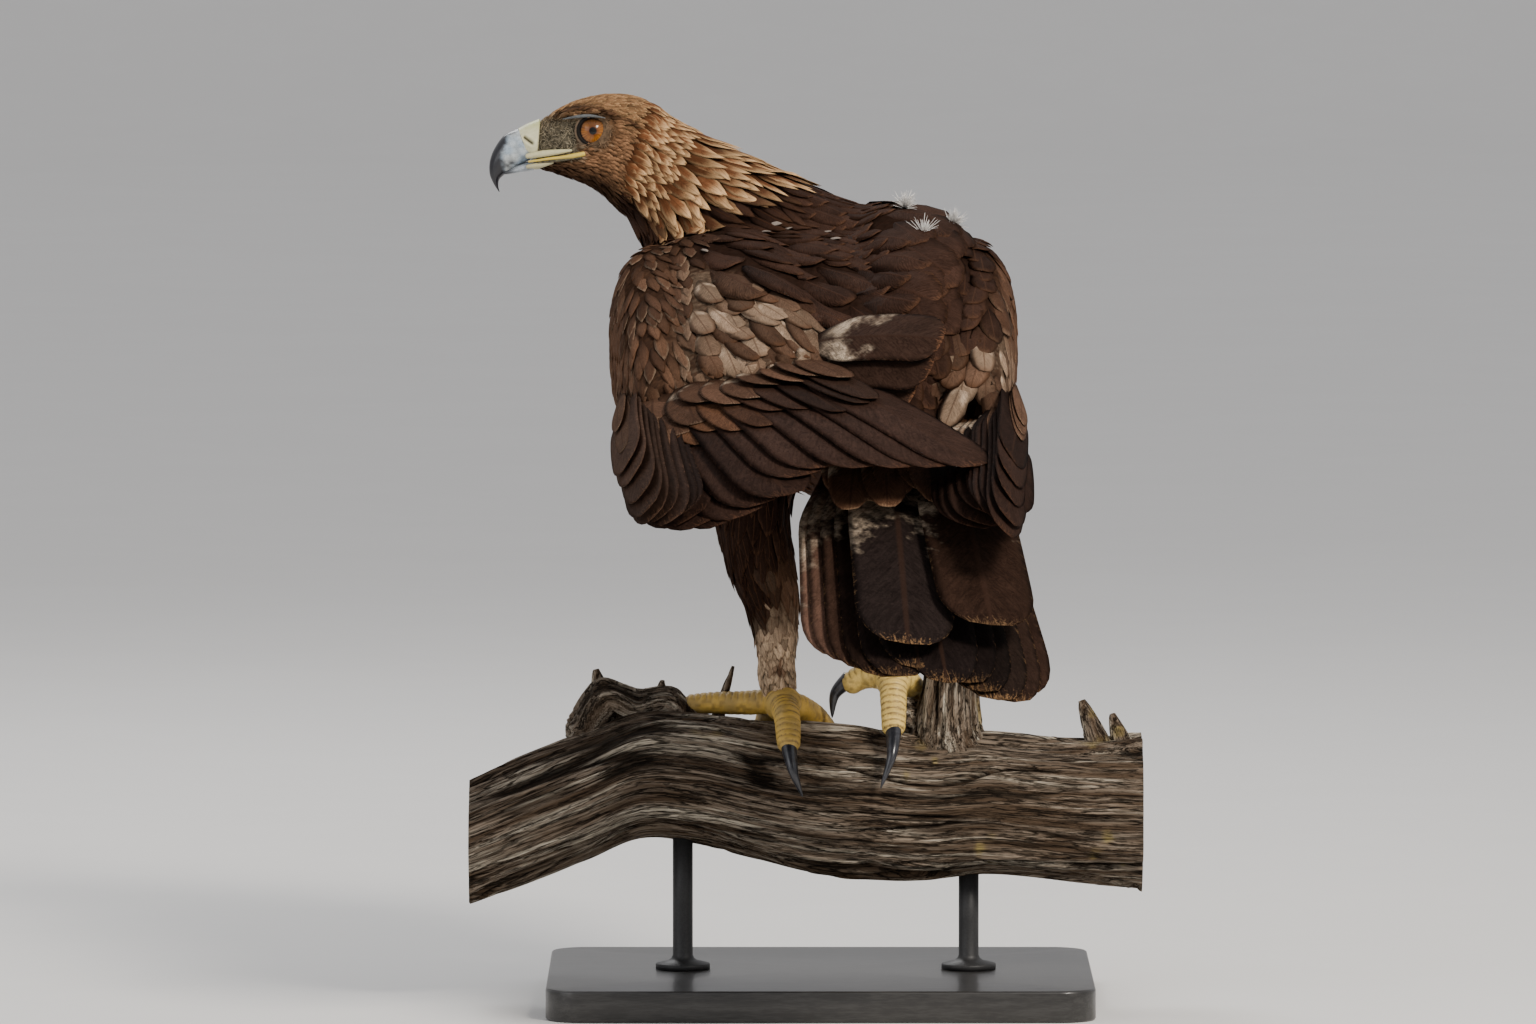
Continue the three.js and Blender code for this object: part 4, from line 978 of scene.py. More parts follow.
@dataclass
class Place:
    """Where things are on the skin: their points, regions, shares along and angles round.

    Attributes:
        points: Rows of X, Y and Z.
        part: Each one's region number.
        t: Share along the region's loft.
        angle: Degrees round the loft, 0 to 360.
    """

    points: Array
    part: Array
    t: Array
    angle: Array

    @property
    def height(self) -> Array:
        """Height in the tilted picture plane, which the sizes below are given in."""
        return picture_height(self.points)

    @property
    def unrolled(self) -> Array:
        """Each one's place on the bake map: a strip a region, with its angle across and its share up."""
        strip = (self.part + self.angle / 360 * BAKE_STRIP) / len(Part)
        across, up = BAKE_SPAN
        return np.stack([BAKE_EDGE + across * strip, BAKE_EDGE + up * self.t], -1)

    @property
    def scapular(self) -> Array:
        """How far each lies over the shoulder feathers' lower edge, in millimetres."""
        return self.height - np.maximum(483 - 0.4 * self.points[:, 0], 474)

    @property
    def eye_gap(self) -> Array:
        """Distance from the eyes' centres across the picture plane, far from them elsewhere."""
        beside = np.abs(np.abs(self.points[:, 1] - HEAD_DEPTH) - EYE_SIDE) > 16
        return np.linalg.norm((self.points - EYE)[:, [0, 2]], axis=1) + 1000 * beside

    def at(self, *parts: Part) -> Array:
        """Whether each lies in one of the regions."""
        return np.isin(self.part, [p.value for p in parts])

    def __getitem__(self, rows: Array) -> "Place":
        """The places at some rows."""
        return Place(self.points[rows], self.part[rows], self.t[rows], self.angle[rows])


class Skin:
    """One skin for head, neck, body, wings' arms and legs, with its map of regions and lie."""

    voxel: float = 2.6
    smoothing: int = 3

    def __init__(self) -> None:
        """Builds the surface and charts it."""
        shells = [part.loft.closed(-part.coat_depth) for part in Part]
        spots, radii = seen([row[:3] for row in BROW_ROWS]), [row[3] for row in BROW_ROWS]
        mirrored = spots * (1, -1, 1) + (0, 2 * HEAD_DEPTH, 0)
        shells += [limb(row, radii).closed() for row in (spots, mirrored)]
        points, faces = remeshed(Shell.joined(shells), self.voxel, self.smoothing)
        self.points, self.faces = points, faces
        corners = [[i for i in face if i >= 0] for face in faces.tolist()]
        self.tree = BVHTree.FromPolygons(points.tolist(), corners)
        self.chart()

    def chart(self) -> None:
        """Gives each point its region, place and lie, from the nearest sample of the lofts."""
        t, turn = np.meshgrid(np.linspace(0, 1, 60), circle(72), indexing="ij")
        samples, lies, marks = [], [], []
        for part in Part:
            spots = part.loft.points(t, turn, -part.coat_depth)
            lies.append(unit(np.gradient(spots, axis=0)).reshape(-1, 3))
            samples.append(spots.reshape(-1, 3))
            marks.append(np.stack([np.full(t.size, part.value), t.ravel(), np.degrees(turn).ravel()], -1))
        samples, lies, marks = (np.concatenate(v) for v in (samples, lies, marks))
        tree = kd_tree(samples)
        nearest = np.array([tree.find(p)[1] for p in self.points])
        edges = np.concatenate([self.faces[:, [k, (k + 1) % 4]] for k in range(4)])
        edges = edges[(edges >= 0).all(1)]
        lie = lies[nearest]
        hang = np.select([np.isin(marks[nearest, 0], [Part.WING_LEFT.value, Part.WING_RIGHT.value]),
                          marks[nearest, 0] == Part.SADDLE.value], [0.8, 0.6], 0.0)[:, None]
        inward = np.where(self.points[:, :1] < 30, 0.3, -0.1) * (1, 0, 0) + (0, -0.35, -0.9)
        lie = unit(lie * (1 - hang) + inward * hang)
        for _ in range(12):
            lie = unit(lie + neighbour_mean(lie, edges))
        self.lie = lie
        part, t, angle = marks[nearest].T
        self.place = Place(self.points, part.astype(int), t, angle)
        self.near = kd_tree(self.points)

    def nearest(self, points: Array) -> tuple[Array, Array]:
        """The nearest points of the skin, and the way it faces there."""
        found = [self.tree.find_nearest(p) for p in points.tolist()]
        return np.array([f[0] for f in found]), np.array([f[1] for f in found])


class Tip(Enum):
    """A feather's outline."""

    ROUND = "round"
    LANCE = "lance"
    BLUNT = "blunt"
    BRISTLE = "bristle"

    def half(self, v: Array) -> Array:
        """The outline, as a product of a growing base and a rounded or pointed end.

        Args:
            v: Shares of the length.

        Returns:
            Half widths as shares of the widest.
        """
        if self is Tip.ROUND:
            grown = 0.3 + 0.7 * ease(0, 0.55, v)
            return grown * np.sqrt(np.maximum(1 - (np.maximum(v - 0.6, 0) / 0.41) ** 2, 0))
        if self is Tip.LANCE:
            return (0.35 + 0.65 * ease(0, 0.4, v)) * np.minimum(1, 2.1 * (1.02 - v) ** 0.85)
        if self is Tip.BLUNT:
            grown = 0.25 + 0.75 * ease(0, 0.4, v)
            return grown * np.sqrt(np.maximum(1 - (np.maximum(v - 0.8, 0) / 0.205) ** 2.6, 0))
        return 1 - 0.9 * v


# Cross sections: share of the half width, and share of the half thickness, from edge to edge and back.
LENS_FOUR = np.array([(-1, 0), (0, 1), (1, 0), (0, -0.7)])
LENS_SIX = np.array([(-1, 0), (-0.5, 0.8), (0, 1), (0.5, 0.8), (1, 0), (0, -0.7)])
LENS_FULL = np.array([(-1, 0), (-0.8, 0.5), (-0.5, 0.7), (-0.2, 0.8), (0, 1.6), (0.2, 0.8), (0.5, 0.7),
                      (0.8, 0.5), (1, 0), (0.5, -0.6), (0, -1.2), (-0.5, -0.6)])


def vanes(middle: Array, face: Array, half: Array, lens: Array, thick: float, camber: float) -> Shell:
    """Many closed feathers: rings of a lens section down each shaft, closed by a pole at each end.

    A ring's point is the shaft + side * share * half width + face * (lift - camber * |share|^1.6 *
    half width), where side is the shaft's run x face.

    Args:
        middle: Points by feather and by row; the first and last row are the poles.
        face: The way each row looks.
        half: Half width of each row.
        lens: The cross section.
        thick: Thickness at the shaft.
        camber: How far the edges drop.

    Returns:
        The shell, with a UV map "Vane" of the share across and the share along.
    """
    run = unit(np.gradient(middle, axis=1))
    side = unit(np.cross(run, face))
    face = unit(np.cross(side, run))
    count, rows, _ = middle.shape
    sides = len(lens)
    a, b = lens.T
    inner = slice(1, rows - 1)
    wide = half[:, inner, None]
    lift = b * thick / 2 - camber * np.abs(a) ** 1.6 * wide
    rings = middle[:, inner, None] + side[:, inner, None] * (a * wide)[..., None]
    rings = rings + face[:, inner, None] * lift[..., None]
    one = tube(rings[0], (middle[0, 0], middle[0, -1]))
    points = np.concatenate([rings.reshape(count, -1, 3), middle[:, :1], middle[:, -1:]], 1)
    stride = points.shape[1]
    faces = one.faces[None] + np.arange(count)[:, None, None] * stride
    faces = np.where(one.faces[None] < 0, -1, faces).reshape(-1, 4)
    v = np.concatenate([[0.0], np.cumsum(np.linalg.norm(np.diff(middle[0], axis=0), axis=1))])
    v /= v[-1]
    spots = np.stack([np.tile((a + 1) / 2, rows - 2), np.repeat(v[inner], sides)], -1)
    spots = np.concatenate([spots, [[0.5, 0.0], [0.5, 1.0]]])
    uv = np.tile(spots[one.faces], (count, 1, 1))
    return Shell(points.reshape(-1, 3), faces, {"Vane": uv})


@dataclass(frozen=True)
class Feather:
    """The sizes of one kind of small feather, in millimetres.

    Attributes:
        length: From root to tip.
        width: At the widest.
        spacing: Between neighbours' roots.
        lift: How far the tip stands off the skin.
        tip: The outline.
        fine: Whether it has the smallest feathers' few faces.
        spread: How much its direction varies, in degrees.
        camber: How far its edges drop, as a share of its half width.
        rows: Distance between rows where it stands in rows, or 0 where it is strewn.
    """

    length: float
    width: float
    spacing: float
    lift: float
    tip: Tip = Tip.ROUND
    fine: bool = False
    spread: float = 5.0
    camber: float = 0.2
    rows: float = 0.0

    @property
    def stops(self) -> Array:
        """Where the rows stand.

        Returns:
            Shares of the length.
        """
        if self.fine:
            return np.array([0, 0.25, 0.6, 0.88, 1])
        if self.tip is Tip.LANCE:
            return np.array([0, 0.12, 0.36, 0.62, 0.84, 1])
        return np.array([0, 0.12, 0.4, 0.68, 0.86, 0.965, 1])


class Tract(Enum):
    """Tracts of the plumage, with their feathers."""

    LORE = Feather(4.2, 0.8, 1.15, 1.0, Tip.BRISTLE, fine=True, spread=42)
    CROWN = Feather(10, 3.6, 2.3, 1.2, Tip.LANCE, fine=True)
    CHEEK = Feather(8, 3.2, 2.2, 0.9, Tip.LANCE, fine=True)
    CHIN = Feather(11, 3.2, 2.7, 1.8, Tip.LANCE, fine=True, spread=12)
    HACKLE_SMALL = Feather(20, 6, 4.3, 2.4, Tip.LANCE, spread=10)
    HACKLE = Feather(37, 9.5, 7.4, 4.2, Tip.LANCE, spread=11, rows=12.5)
    FORENECK = Feather(26, 8, 5.8, 3.2, Tip.LANCE, spread=9)
    MANTLE = Feather(36, 21, 10, 2.4, rows=12)
    SCAPULAR_SMALL = Feather(44, 27, 14, 3.0, rows=17)
    SCAPULAR = Feather(66, 40, 22, 3.2, rows=25)
    LESSER = Feather(32, 9.5, 12.5, 2.0, Tip.LANCE, spread=6, rows=6.5)
    MEDIAN = Feather(42, 21, 12.5, 2.8, spread=7, rows=15)
    BREAST = Feather(34, 19, 10, 2.8, rows=13)
    TROUSER = Feather(38, 12, 7.2, 3.4, Tip.LANCE)
    TROUSER_SMALL = Feather(20, 7.5, 4.6, 2.4, Tip.LANCE)
    SHANK = Feather(11, 4.6, 3.0, 1.6, Tip.LANCE, fine=True, spread=10)
    RUMP = Feather(46, 25, 13, 3.0, rows=18)

    @staticmethod
    def chart(place: Place) -> Array:
        """The tract of each place.

        Args:
            place: Places on the skin.

        Returns:
            The number of each one's tract, in the order above.
        """
        order = {tract: i for i, tract in enumerate(Tract)}
        up, t = np.sin(np.radians(place.angle)), place.t
        x, height = place.points[:, 0], place.height
        head, neck = place.at(Part.HEAD), place.at(Part.NECK)
        thigh = place.at(Part.THIGH_LEFT, Part.THIGH_RIGHT)
        arm = place.at(Part.WING_LEFT, Part.WING_RIGHT, Part.SHOULDER_LEFT, Part.SHOULDER_RIGHT, Part.SADDLE)
        lore = (x < -171) & (height > 589) & (height < 619) | (place.eye_gap < 13.5)
        shoulder = (place.scapular > 0) & (x > -90) & (x < 93)
        rules = [
            (head & lore, Tract.LORE),
            (head & (t > 0.86) & (up > -0.5), Tract.HACKLE_SMALL),
            (head & (up > 0.35), Tract.CROWN),
            (head & (up < -0.6), Tract.CHIN),
            (head, Tract.CHEEK),
            (neck & (up < -0.5), Tract.FORENECK),
            (neck & (t < 0.2), Tract.HACKLE_SMALL),
            (neck & (t > 0.85), Tract.MANTLE),
            (neck, Tract.HACKLE),
            (arm & shoulder & (height > 520) & (x < 0), Tract.SCAPULAR_SMALL),
            (arm & shoulder, Tract.SCAPULAR),
            (arm & ((x < -92) | (x > 122)), Tract.LESSER),
            (arm, Tract.MEDIAN),
            (thigh & (t > 0.62), Tract.TROUSER_SMALL),
            (thigh, Tract.TROUSER),
            (place.at(Part.TARSUS_LEFT, Part.TARSUS_RIGHT), Tract.SHANK),
            (place.at(Part.RUMP), Tract.RUMP),
            ((up > 0.3) & shoulder & (height < 520), Tract.SCAPULAR),
            (up > 0.3, Tract.MANTLE),
            (place.at(Part.MANTLE), Tract.MANTLE),
        ]
        return np.select([rule for rule, _ in rules], [order[t] for _, t in rules], order[Tract.BREAST])


@dataclass(frozen=True)
class Plumage:
    """The bird's colours, as linear red, green and blue, and where each is."""

    crown: tuple = (0.25, 0.135, 0.064)
    cheek: tuple = (0.20, 0.105, 0.054)
    lore: tuple = (0.25, 0.215, 0.15)
    chin: tuple = (0.020, 0.0095, 0.006)
    rust: tuple = (0.115, 0.045, 0.019)
    gold: tuple = (0.76, 0.49, 0.25)
    chocolate: tuple = (0.034, 0.0175, 0.012)
    chestnut: tuple = (0.135, 0.064, 0.034)
    covert: tuple = (0.12, 0.064, 0.038)
    buff: tuple = (0.58, 0.44, 0.31)
    shank: tuple = (0.44, 0.32, 0.215)
    down: tuple = (0.80, 0.78, 0.75)

    def markings(self, place: Place, rng: np.random.Generator) -> tuple[Array, Array]:
        """The ground and fringe colours at places on the skin.

        Args:
            place: Places on the skin.
            rng: Gives each its own shade.

        Returns:
            Ground with the fringe's strength as its fourth number, and fringe with the pale
            base's strength as its fourth.
        """
        n = len(place.points)
        up, t = np.sin(np.radians(place.angle)), place.t
        x, height = place.points[:, 0], place.height
        wild = noise(place.points / 14, 21)
        ground = np.tile(self.chocolate, (n, 1)).astype(float)
        fringe = np.tile(self.chestnut, (n, 1)).astype(float)
        edge, pale = np.full(n, 0.55), np.zeros(n)

        def paint(rows: Array, colour: Array, rim: Array, edge_to: object, pale_to: object = 0.0) -> None:
            """Marks some of the places.

            Args:
                rows: Which ones, as a mask.
                colour: Ground colours of all places.
                rim: Fringe colours of all places, or one for all.
                edge_to: How strong the fringe is.
                pale_to: How strong the pale base is.
            """
            ground[rows], fringe[rows] = colour[rows], np.broadcast_to(rim, (n, 3))[rows]
            edge[rows] = np.broadcast_to(edge_to, n)[rows]
            pale[rows] = np.broadcast_to(pale_to, n)[rows]

        chin_line = np.interp(x, [-200, -192, -154, -126, -110], [583, 584, 571, 551, 540])
        face = blend(self.chin, self.cheek, ease(-3, 16, height - chin_line + 3 * wild))
        face = blend(face, self.crown, ease(0.1, 0.55, up + 0.15 * wild) * 0.85)
        lores = ease(-168, -174, x) * ease(588, 592, height) * ease(621, 616, height)
        face = blend(face, self.lore, np.maximum(lores, ease(14, 12, place.eye_gap) * 0.35))
        brow = np.interp(x, [-200, -180, -160, -147, -128], [621, 623.5, 625, 620, 612])
        thick = np.interp(x, [-196, -180, -128], [6.5, 3.4, 2.4])
        stripe = np.exp(-(((height - brow) / thick) ** 2)) * ease(-122, -134, x) * (up < 0.93)
        face = blend(face, np.multiply(self.chin, 1.6), stripe * 0.85)
        head = place.at(Part.HEAD)
        rim = ease(0.0, 0.6, up) * 0.7 + ease(0.6, 0.9, t) * 0.4
        paint(head, face, blend(face * 0.7, self.gold, np.clip(rim, 0, 0.85) * (1 - stripe)),
              0.35 + 0.5 * ease(0.1, 0.6, up) - 0.25 * lores)
        last = np.interp(x, [-95, -84, -50, -21, -5], [530, 566, 572, 578, 600])
        golden = ease(-6, 6, height - last + 6 * wild) * ease(2, 16, height - chin_line + 3 * wild)
        hackle = blend(np.multiply(self.chocolate, 0.9), self.rust, golden)
        paint(place.at(Part.NECK) | head & (t > 0.86), hackle,
              blend(np.multiply(self.chestnut, 0.6), self.gold, golden), 0.45 + 0.5 * golden)
        arm = place.at(Part.WING_LEFT, Part.WING_RIGHT, Part.SHOULDER_LEFT, Part.SHOULDER_RIGHT, Part.SADDLE)
        below = ease(6, -8, place.scapular + 5 * wild)
        light = ease(-108, -84, x) * ease(14, -6, x) + ease(72, 86, x) * ease(150, 120, x)
        light *= ease(414, 440, height + 6 * wild) * below
        outer = np.maximum(ease(-84, -98, x), ease(112, 126, x))
        patch = ease(-0.4, 0.4, noise(place.points / 17, 5) + 0.5 * rng.standard_normal(n).clip(-1, 1))
        warm = np.maximum(outer * ease(395, 430, height) * 0.8, light)
        cream = light * 0.4 * patch * rng.random(n) + outer * 0.5 * ease(-0.2, 0.5, rng.standard_normal(n))
        pied = blend(self.covert, np.multiply(self.buff, 0.5), light * (0.1 + 0.4 * patch))
        paint(arm, blend(self.chocolate, pied, warm * (0.5 + 0.5 * patch)),
              blend(np.multiply(self.chestnut, 0.7), self.buff, cream.clip(0, 1)), 0.5 + 0.35 * warm,
              light * (0.2 + 0.55 * patch))
        thigh = place.at(Part.THIGH_LEFT, Part.THIGH_RIGHT)
        inner = ease(-46, -24, x + 5 * wild) * ease(120, 60, x) * ease(0.2, 0.5, t)
        leg = blend(np.multiply(self.chocolate, 0.5), self.covert, inner * 0.75)
        whitish = ease(0.55, 1.0, t + 0.25 * wild) * ease(-60, -34, x)
        leg = blend(leg, np.multiply(self.shank, 0.6), inner * ease(0.45, 0.75, t + 0.1 * wild) * 0.6)
        paint(thigh, blend(leg, self.shank, whitish * 0.8), np.multiply(self.chestnut, 0.8), 0.4)
        paint(place.at(Part.TARSUS_LEFT, Part.TARSUS_RIGHT),
              blend(self.shank, self.covert, ease(0.1, 0.9, noise(place.points / 7, 3))),
              np.multiply(self.shank, 1.2), 0.5)
        vary = np.where(lores > 0.5, 0.5, np.where(golden > 0.5, 0.3, 0.2))[:, None]
        shade = 1 + vary * rng.standard_normal(n)[:, None].clip(-1.6, 1.6)
        return (np.concatenate([ground * shade, edge[:, None]], 1),
                np.concatenate([fringe * (0.5 + shade / 2), pale[:, None]], 1))


# The skin's material; its ground colour is darkened in make_skin as painted shade under the feathers.
SKIN_FINISH = HardFinish("under_down", (0.02, 0.013, 0.01), 0.5, 300, 0.9, 0.4, gloss=0.0)
FINISHES = {
    "face": FeatherFinish("face_feathers", 14, (0.5, 1.0), 0.75, (0.08, 0.045, 0.025)),
    "hackles": FeatherFinish("hackle_feathers", 26, (0.4, 1.05), 0.5, (0.06, 0.024, 0.010)),
    "body": FeatherFinish("body_feathers", 34, (0.82, 1.04), 0.9, (0.045, 0.022, 0.014)),
    "wing": FeatherFinish("covert_feathers", 40, (0.55, 1.05), 0.82, (0.06, 0.03, 0.018), (0.52, 0.39, 0.28)),
    "leg": FeatherFinish("leg_feathers", 24, (0.7, 1.0), 0.85, roughness=0.8),
    "flight": FeatherFinish("flight_feathers", 150, (0.97, 1.1), 0.975, (0.035, 0.018, 0.012),
                            roughness=0.75),
}


class Coat:
    """The small feathers, laid over the skin tract by tract."""

    groups = {  # piece: tracts, finish and slot
        "coat_face": ((Tract.LORE, Tract.CHEEK, Tract.CHIN, Tract.CROWN), "face", "head_plumage"),
        "coat_hackles": ((Tract.HACKLE_SMALL, Tract.HACKLE, Tract.FORENECK), "hackles", "nape_hackles"),
        "coat_back": ((Tract.MANTLE, Tract.SCAPULAR_SMALL, Tract.SCAPULAR, Tract.RUMP), "body",
                      "body_plumage"),
        "coat_wings": ((Tract.LESSER, Tract.MEDIAN), "wing", "wing_plumage"),
        "coat_breast": ((Tract.BREAST,), "body", "body_plumage"),
        "coat_legs": ((Tract.TROUSER, Tract.TROUSER_SMALL, Tract.SHANK), "leg", "leg_plumage"),
    }

    def __init__(self, skin: Skin, plumage: Plumage) -> None:
        """Picks the roots over the whole skin.

        Args:
            skin: The skin that they stand on.
            plumage: Colours the feathers.
        """
        self.skin, self.plumage = skin, plumage
        self.rng = np.random.default_rng(7)
        self.pick()

    def rows(self, tract_of_skin: Array) -> tuple[Array, Array]:
        """Roots in staggered rows round each region's loft, for the feathers that stand in rows.

        Args:
            tract_of_skin: The tract of each point of the skin.

        Returns:
            The roots and each one's spacing.
        """
        skin, spots, gaps = self.skin, [], []
        for part in (p for p in Part if p is not Part.HEAD):
            loft = part.loft
            crest = loft.points(np.linspace(0, 1, 30), np.array(1.5))
            length = np.linalg.norm(np.diff(crest, axis=0), axis=1).sum()
            for number, tract in enumerate(Tract):
                kind = tract.value
                mine = (tract_of_skin == number) & (skin.place.part == part.value)
                if not kind.rows or not mine.any():
                    continue
                for row, t in enumerate(np.arange(0.5, length / kind.rows) * kind.rows / length):
                    ring = loft.points(np.full(73, t), np.linspace(0, FULL_TURN, 73), -part.coat_depth)
                    reach = np.cumsum(np.append(0, np.linalg.norm(np.diff(ring, axis=0), axis=1)))
                    count = max(int(reach[-1] / kind.spacing), 3)
                    want = (np.arange(count) + row % 2 / 2) / count * reach[-1]
                    row_spots = np.stack([np.interp(want, reach, ring[:, k]) for k in range(3)], -1)
                    for spot in row_spots + self.rng.normal(0, kind.spacing * 0.07, row_spots.shape):
                        _, near, far = skin.near.find(spot)
                        if mine[near] and far < 9:
                            spots.append(skin.tree.find_nearest(spot)[0])
                            gaps.append(kind.spacing * 0.62)
        return np.array(spots), np.array(gaps)

    def pick(self) -> None:
        """Picks roots: rows, and random points on the faces, each kept if no kept one is too near."""
        skin, rng = self.skin, self.rng
        corners = skin.faces.copy()
        corners[:, 3] = np.where(corners[:, 3] < 0, corners[:, 2], corners[:, 3])
        tract = Tract.chart(skin.place)
        spacing = np.array([t.value.spacing for t in Tract])[tract][corners[:, 0]]
        a, b, c, d = (skin.points[corners[:, k]] for k in range(4))
        first, second = (np.linalg.norm(np.cross(p - a, q - a), axis=1) for p, q in ((b, c), (c, d)))
        count = rng.poisson((first + second) / 2 / spacing**2 * 6)
        rows = np.repeat(np.arange(len(corners)), count)
        u, v = rng.random((2, len(rows), 1))
        spots = (a[rows] * (1 - u) + b[rows] * u) * (1 - v) + (d[rows] * (1 - u) + c[rows] * u) * v
        gap = spacing[rows] * 0.78
        in_rows = np.array([t.value.rows > 0 for t in Tract])[tract][corners[rows, 0]]
        lined, lined_gap = self.rows(tract)
        bare = Place(spots, rows, rows, rows).eye_gap < 11.0
        strewn = rng.permutation(np.flatnonzero(~bare & ~in_rows & (spots[:, 0] > -203)))
        order = np.concatenate([len(spots) + np.arange(len(lined)), strewn])
        spots, gap = np.concatenate([spots, lined]), np.concatenate([gap, lined_gap])
        tree = kd_tree(spots, order)
        free, kept = np.ones(len(spots), bool), []
        for i in order:
            if free[i]:
                kept.append(i)
                for _, j, _ in tree.find_range(spots[i], gap[i]):
                    free[j] = False
        kept = np.array(kept)
        self.spots = spots[kept]
        near = np.array([skin.near.find(p)[1] for p in self.spots])
        self.place = skin.place[near]
        self.place.points = self.spots
        self.tract = tract[near]
        self.lie = skin.lie[near]

    def lay(self, feather: Feather, rows: Array) -> Shell:
        """Lays one kind of feather: each shaft marches over the skin in its lie and rises to its tip.

        Args:
            feather: The kind.
            rows: Which roots it grows from.

        Returns:
            The feathers, coloured.
        """
        rng, n = self.rng, len(rows)
        stops = feather.stops
        length = feather.length * (1 + 0.09 * rng.standard_normal(n)).clip(0.78, 1.25)
        point, normal = self.skin.nearest(self.spots[rows])
        lie = self.lie[rows]
        x, height = self.spots[rows, 0], self.place.height[rows]
        upper = (Part.SHOULDER_LEFT, Part.WING_LEFT, Part.TORSO, Part.SHOULDER_RIGHT, Part.SADDLE)
        swing = 40 * ease(440, 505, height) * ease(-112, -50, x) * ease(90, 20, x)
        swing = swing * self.place.at(*upper)[rows]
        turn = np.radians(swing + feather.spread * rng.standard_normal(n))[:, None]
        lie = unit(lie - normal * (lie * normal).sum(1, keepdims=True))
        lie = lie * np.cos(turn) + np.cross(normal, lie) * np.sin(turn)
        lift = feather.lift * (0.85 + 0.5 * rng.random(n))
        loose = self.place.at(Part.NECK, Part.THIGH_LEFT, Part.THIGH_RIGHT)[rows] * 0.7
        wing = self.place.at(Part.WING_LEFT, Part.WING_RIGHT)[rows]
        loose = loose + wing * ease(-20, -90, self.spots[rows, 1])
        middles, faces = [], []
        for k, v in enumerate(stops):
            if k:
                ahead = point + lie * (length * (v - stops[k - 1]))[:, None]
                point, found = self.skin.nearest(ahead)
                free = (ease(1.5, 7, np.linalg.norm(ahead - point, axis=1)) * loose)[:, None]
                point = point + (ahead - point) * free * 0.9
                normal = unit(normal + found * 1.5 * (1 - 0.85 * free))
                lie = unit(lie - normal * (lie * normal).sum(1, keepdims=True))
            middles.append(point + normal * (lift * v**0.9 - 0.5 + 0.5 * math.sin(math.pi * v))[:, None])
            faces.append(normal)
        middle, face = np.stack(middles, 1), np.stack(faces, 1)
        over = np.where(x < 30, -5, 5) * (feather.rows > 0)
        roll = np.radians(over + 4 * rng.standard_normal(n))[:, None, None]
        side = np.cross(unit(np.gradient(middle, axis=1)), face)
        face = face * np.cos(roll) + side * np.sin(roll)
        width = feather.width / 2 * (1 + 0.08 * rng.standard_normal(n)).clip(0.8, 1.2)
        half = width[:, None] * feather.tip.half(stops)[None]
        lens = LENS_FOUR if feather.fine else LENS_SIX
        shell = vanes(middle, face, half, lens, 0.4 if feather.fine else 0.5, feather.camber)
        each = len(shell.points) // n
        ground, fringe = self.plumage.markings(self.place[rows], rng)
        shell.maps["OFBake"] = self.patches(shell, self.place[rows])
        return shell.painted(Ground=np.repeat(ground, each, 0), Fringe=np.repeat(fringe, each, 0))

    @staticmethod
    def patches(shell: Shell, place: Place) -> Array:
        """The bake map: each feather has a small patch at its root's place on the skin's own map.

        Args:
            shell: The feathers.
            place: Their roots.

        Returns:
            The map.
        """
        uv = shell.maps["Vane"].reshape(len(place.points), -1, 4, 2)
        return (place.unrolled[:, None, None] + (uv - 0.5) * BAKE_PATCH).reshape(-1, 4, 2)

    def loose(self) -> Shell:
        """Makes the down that has worked loose on the right shoulder, and white tips along the left one.

        Returns:
            Down and tips, coloured.
        """
        x, height, far = self.spots[:, 0], self.place.height, (self.spots[:, 1] > 110) * 99

        def nearest(spots: tuple) -> Array:
            """The roots nearest to some places across and up in the picture, on the near side."""
            return np.array([np.argmin(np.hypot(x - a, height - b) + far) for a, b in spots])

        flecks = nearest(((-81, 524), (-46, 540), (-38, 541), (-24, 538), (-2, 536), (9, 533)))
        tips = self.lay(Feather(13, 5.5, 1, 4.2, Tip.LANCE, spread=14), flecks)
        down = self.tuft(nearest(((56, 551), (60, 549), (76, 542), (84, 539), (90, 536))).repeat(64))
        white, dull = (*self.plumage.down, 0.0), (0.26, 0.22, 0.19, 0.0)
        return Shell.joined([tips.painted(Ground=dull, Fringe=dull),
                             down.painted(Ground=white, Fringe=white)])

    def tuft(self, rows: Array) -> Shell:
        """Filaments of down: each point is the root + aim * s - down * droop * s^2, s along it.

        Args:
            rows: Which root each filament grows from.

        Returns:
            The filaments.
        """
        n, rng = len(rows), self.rng
        root, normal = self.skin.nearest(self.spots[rows])
        aim = unit(normal * 0.5 + (0.25, -0.35, 0.75) + rng.normal(0, 0.5, (n, 3)))
        stops = Feather(1, 1, 1, 1, fine=True).stops
        s = stops[None, :, None] * rng.uniform(8, 17, (n, 1, 1))
        middle = root[:, None] + aim[:, None] * s - np.array([0, 0, 0.02]) * s**2 * rng.random((n, 1, 1))
        face = np.repeat(unit(np.cross(aim, rng.standard_normal((n, 3))))[:, None], len(stops), 1)
        half = np.tile(0.55 * Tip.BRISTLE.half(stops), (n, 1))
        shell = vanes(middle, face, half, LENS_FOUR, 0.4, 0.0)
        shell.maps["OFBake"] = self.patches(shell, self.place[rows])
        return shell

    def make(self, shop: Workshop) -> None:
        """Makes the coat's pieces.

        Args:
            shop: Turns each into a piece.
        """
        shop.piece("loose_down", self.loose(), FINISHES["leg"], "body_plumage")
        order = list(Tract)
        for name, (tracts, finish, slot) in self.groups.items():
            shells = []
            for tract in tracts:
                rows = np.flatnonzero(self.tract == order.index(tract))
                if len(rows):
                    shells.append(self.lay(tract.value, rows))
            shop.piece(name, Shell.joined(shells), FINISHES[finish], slot)


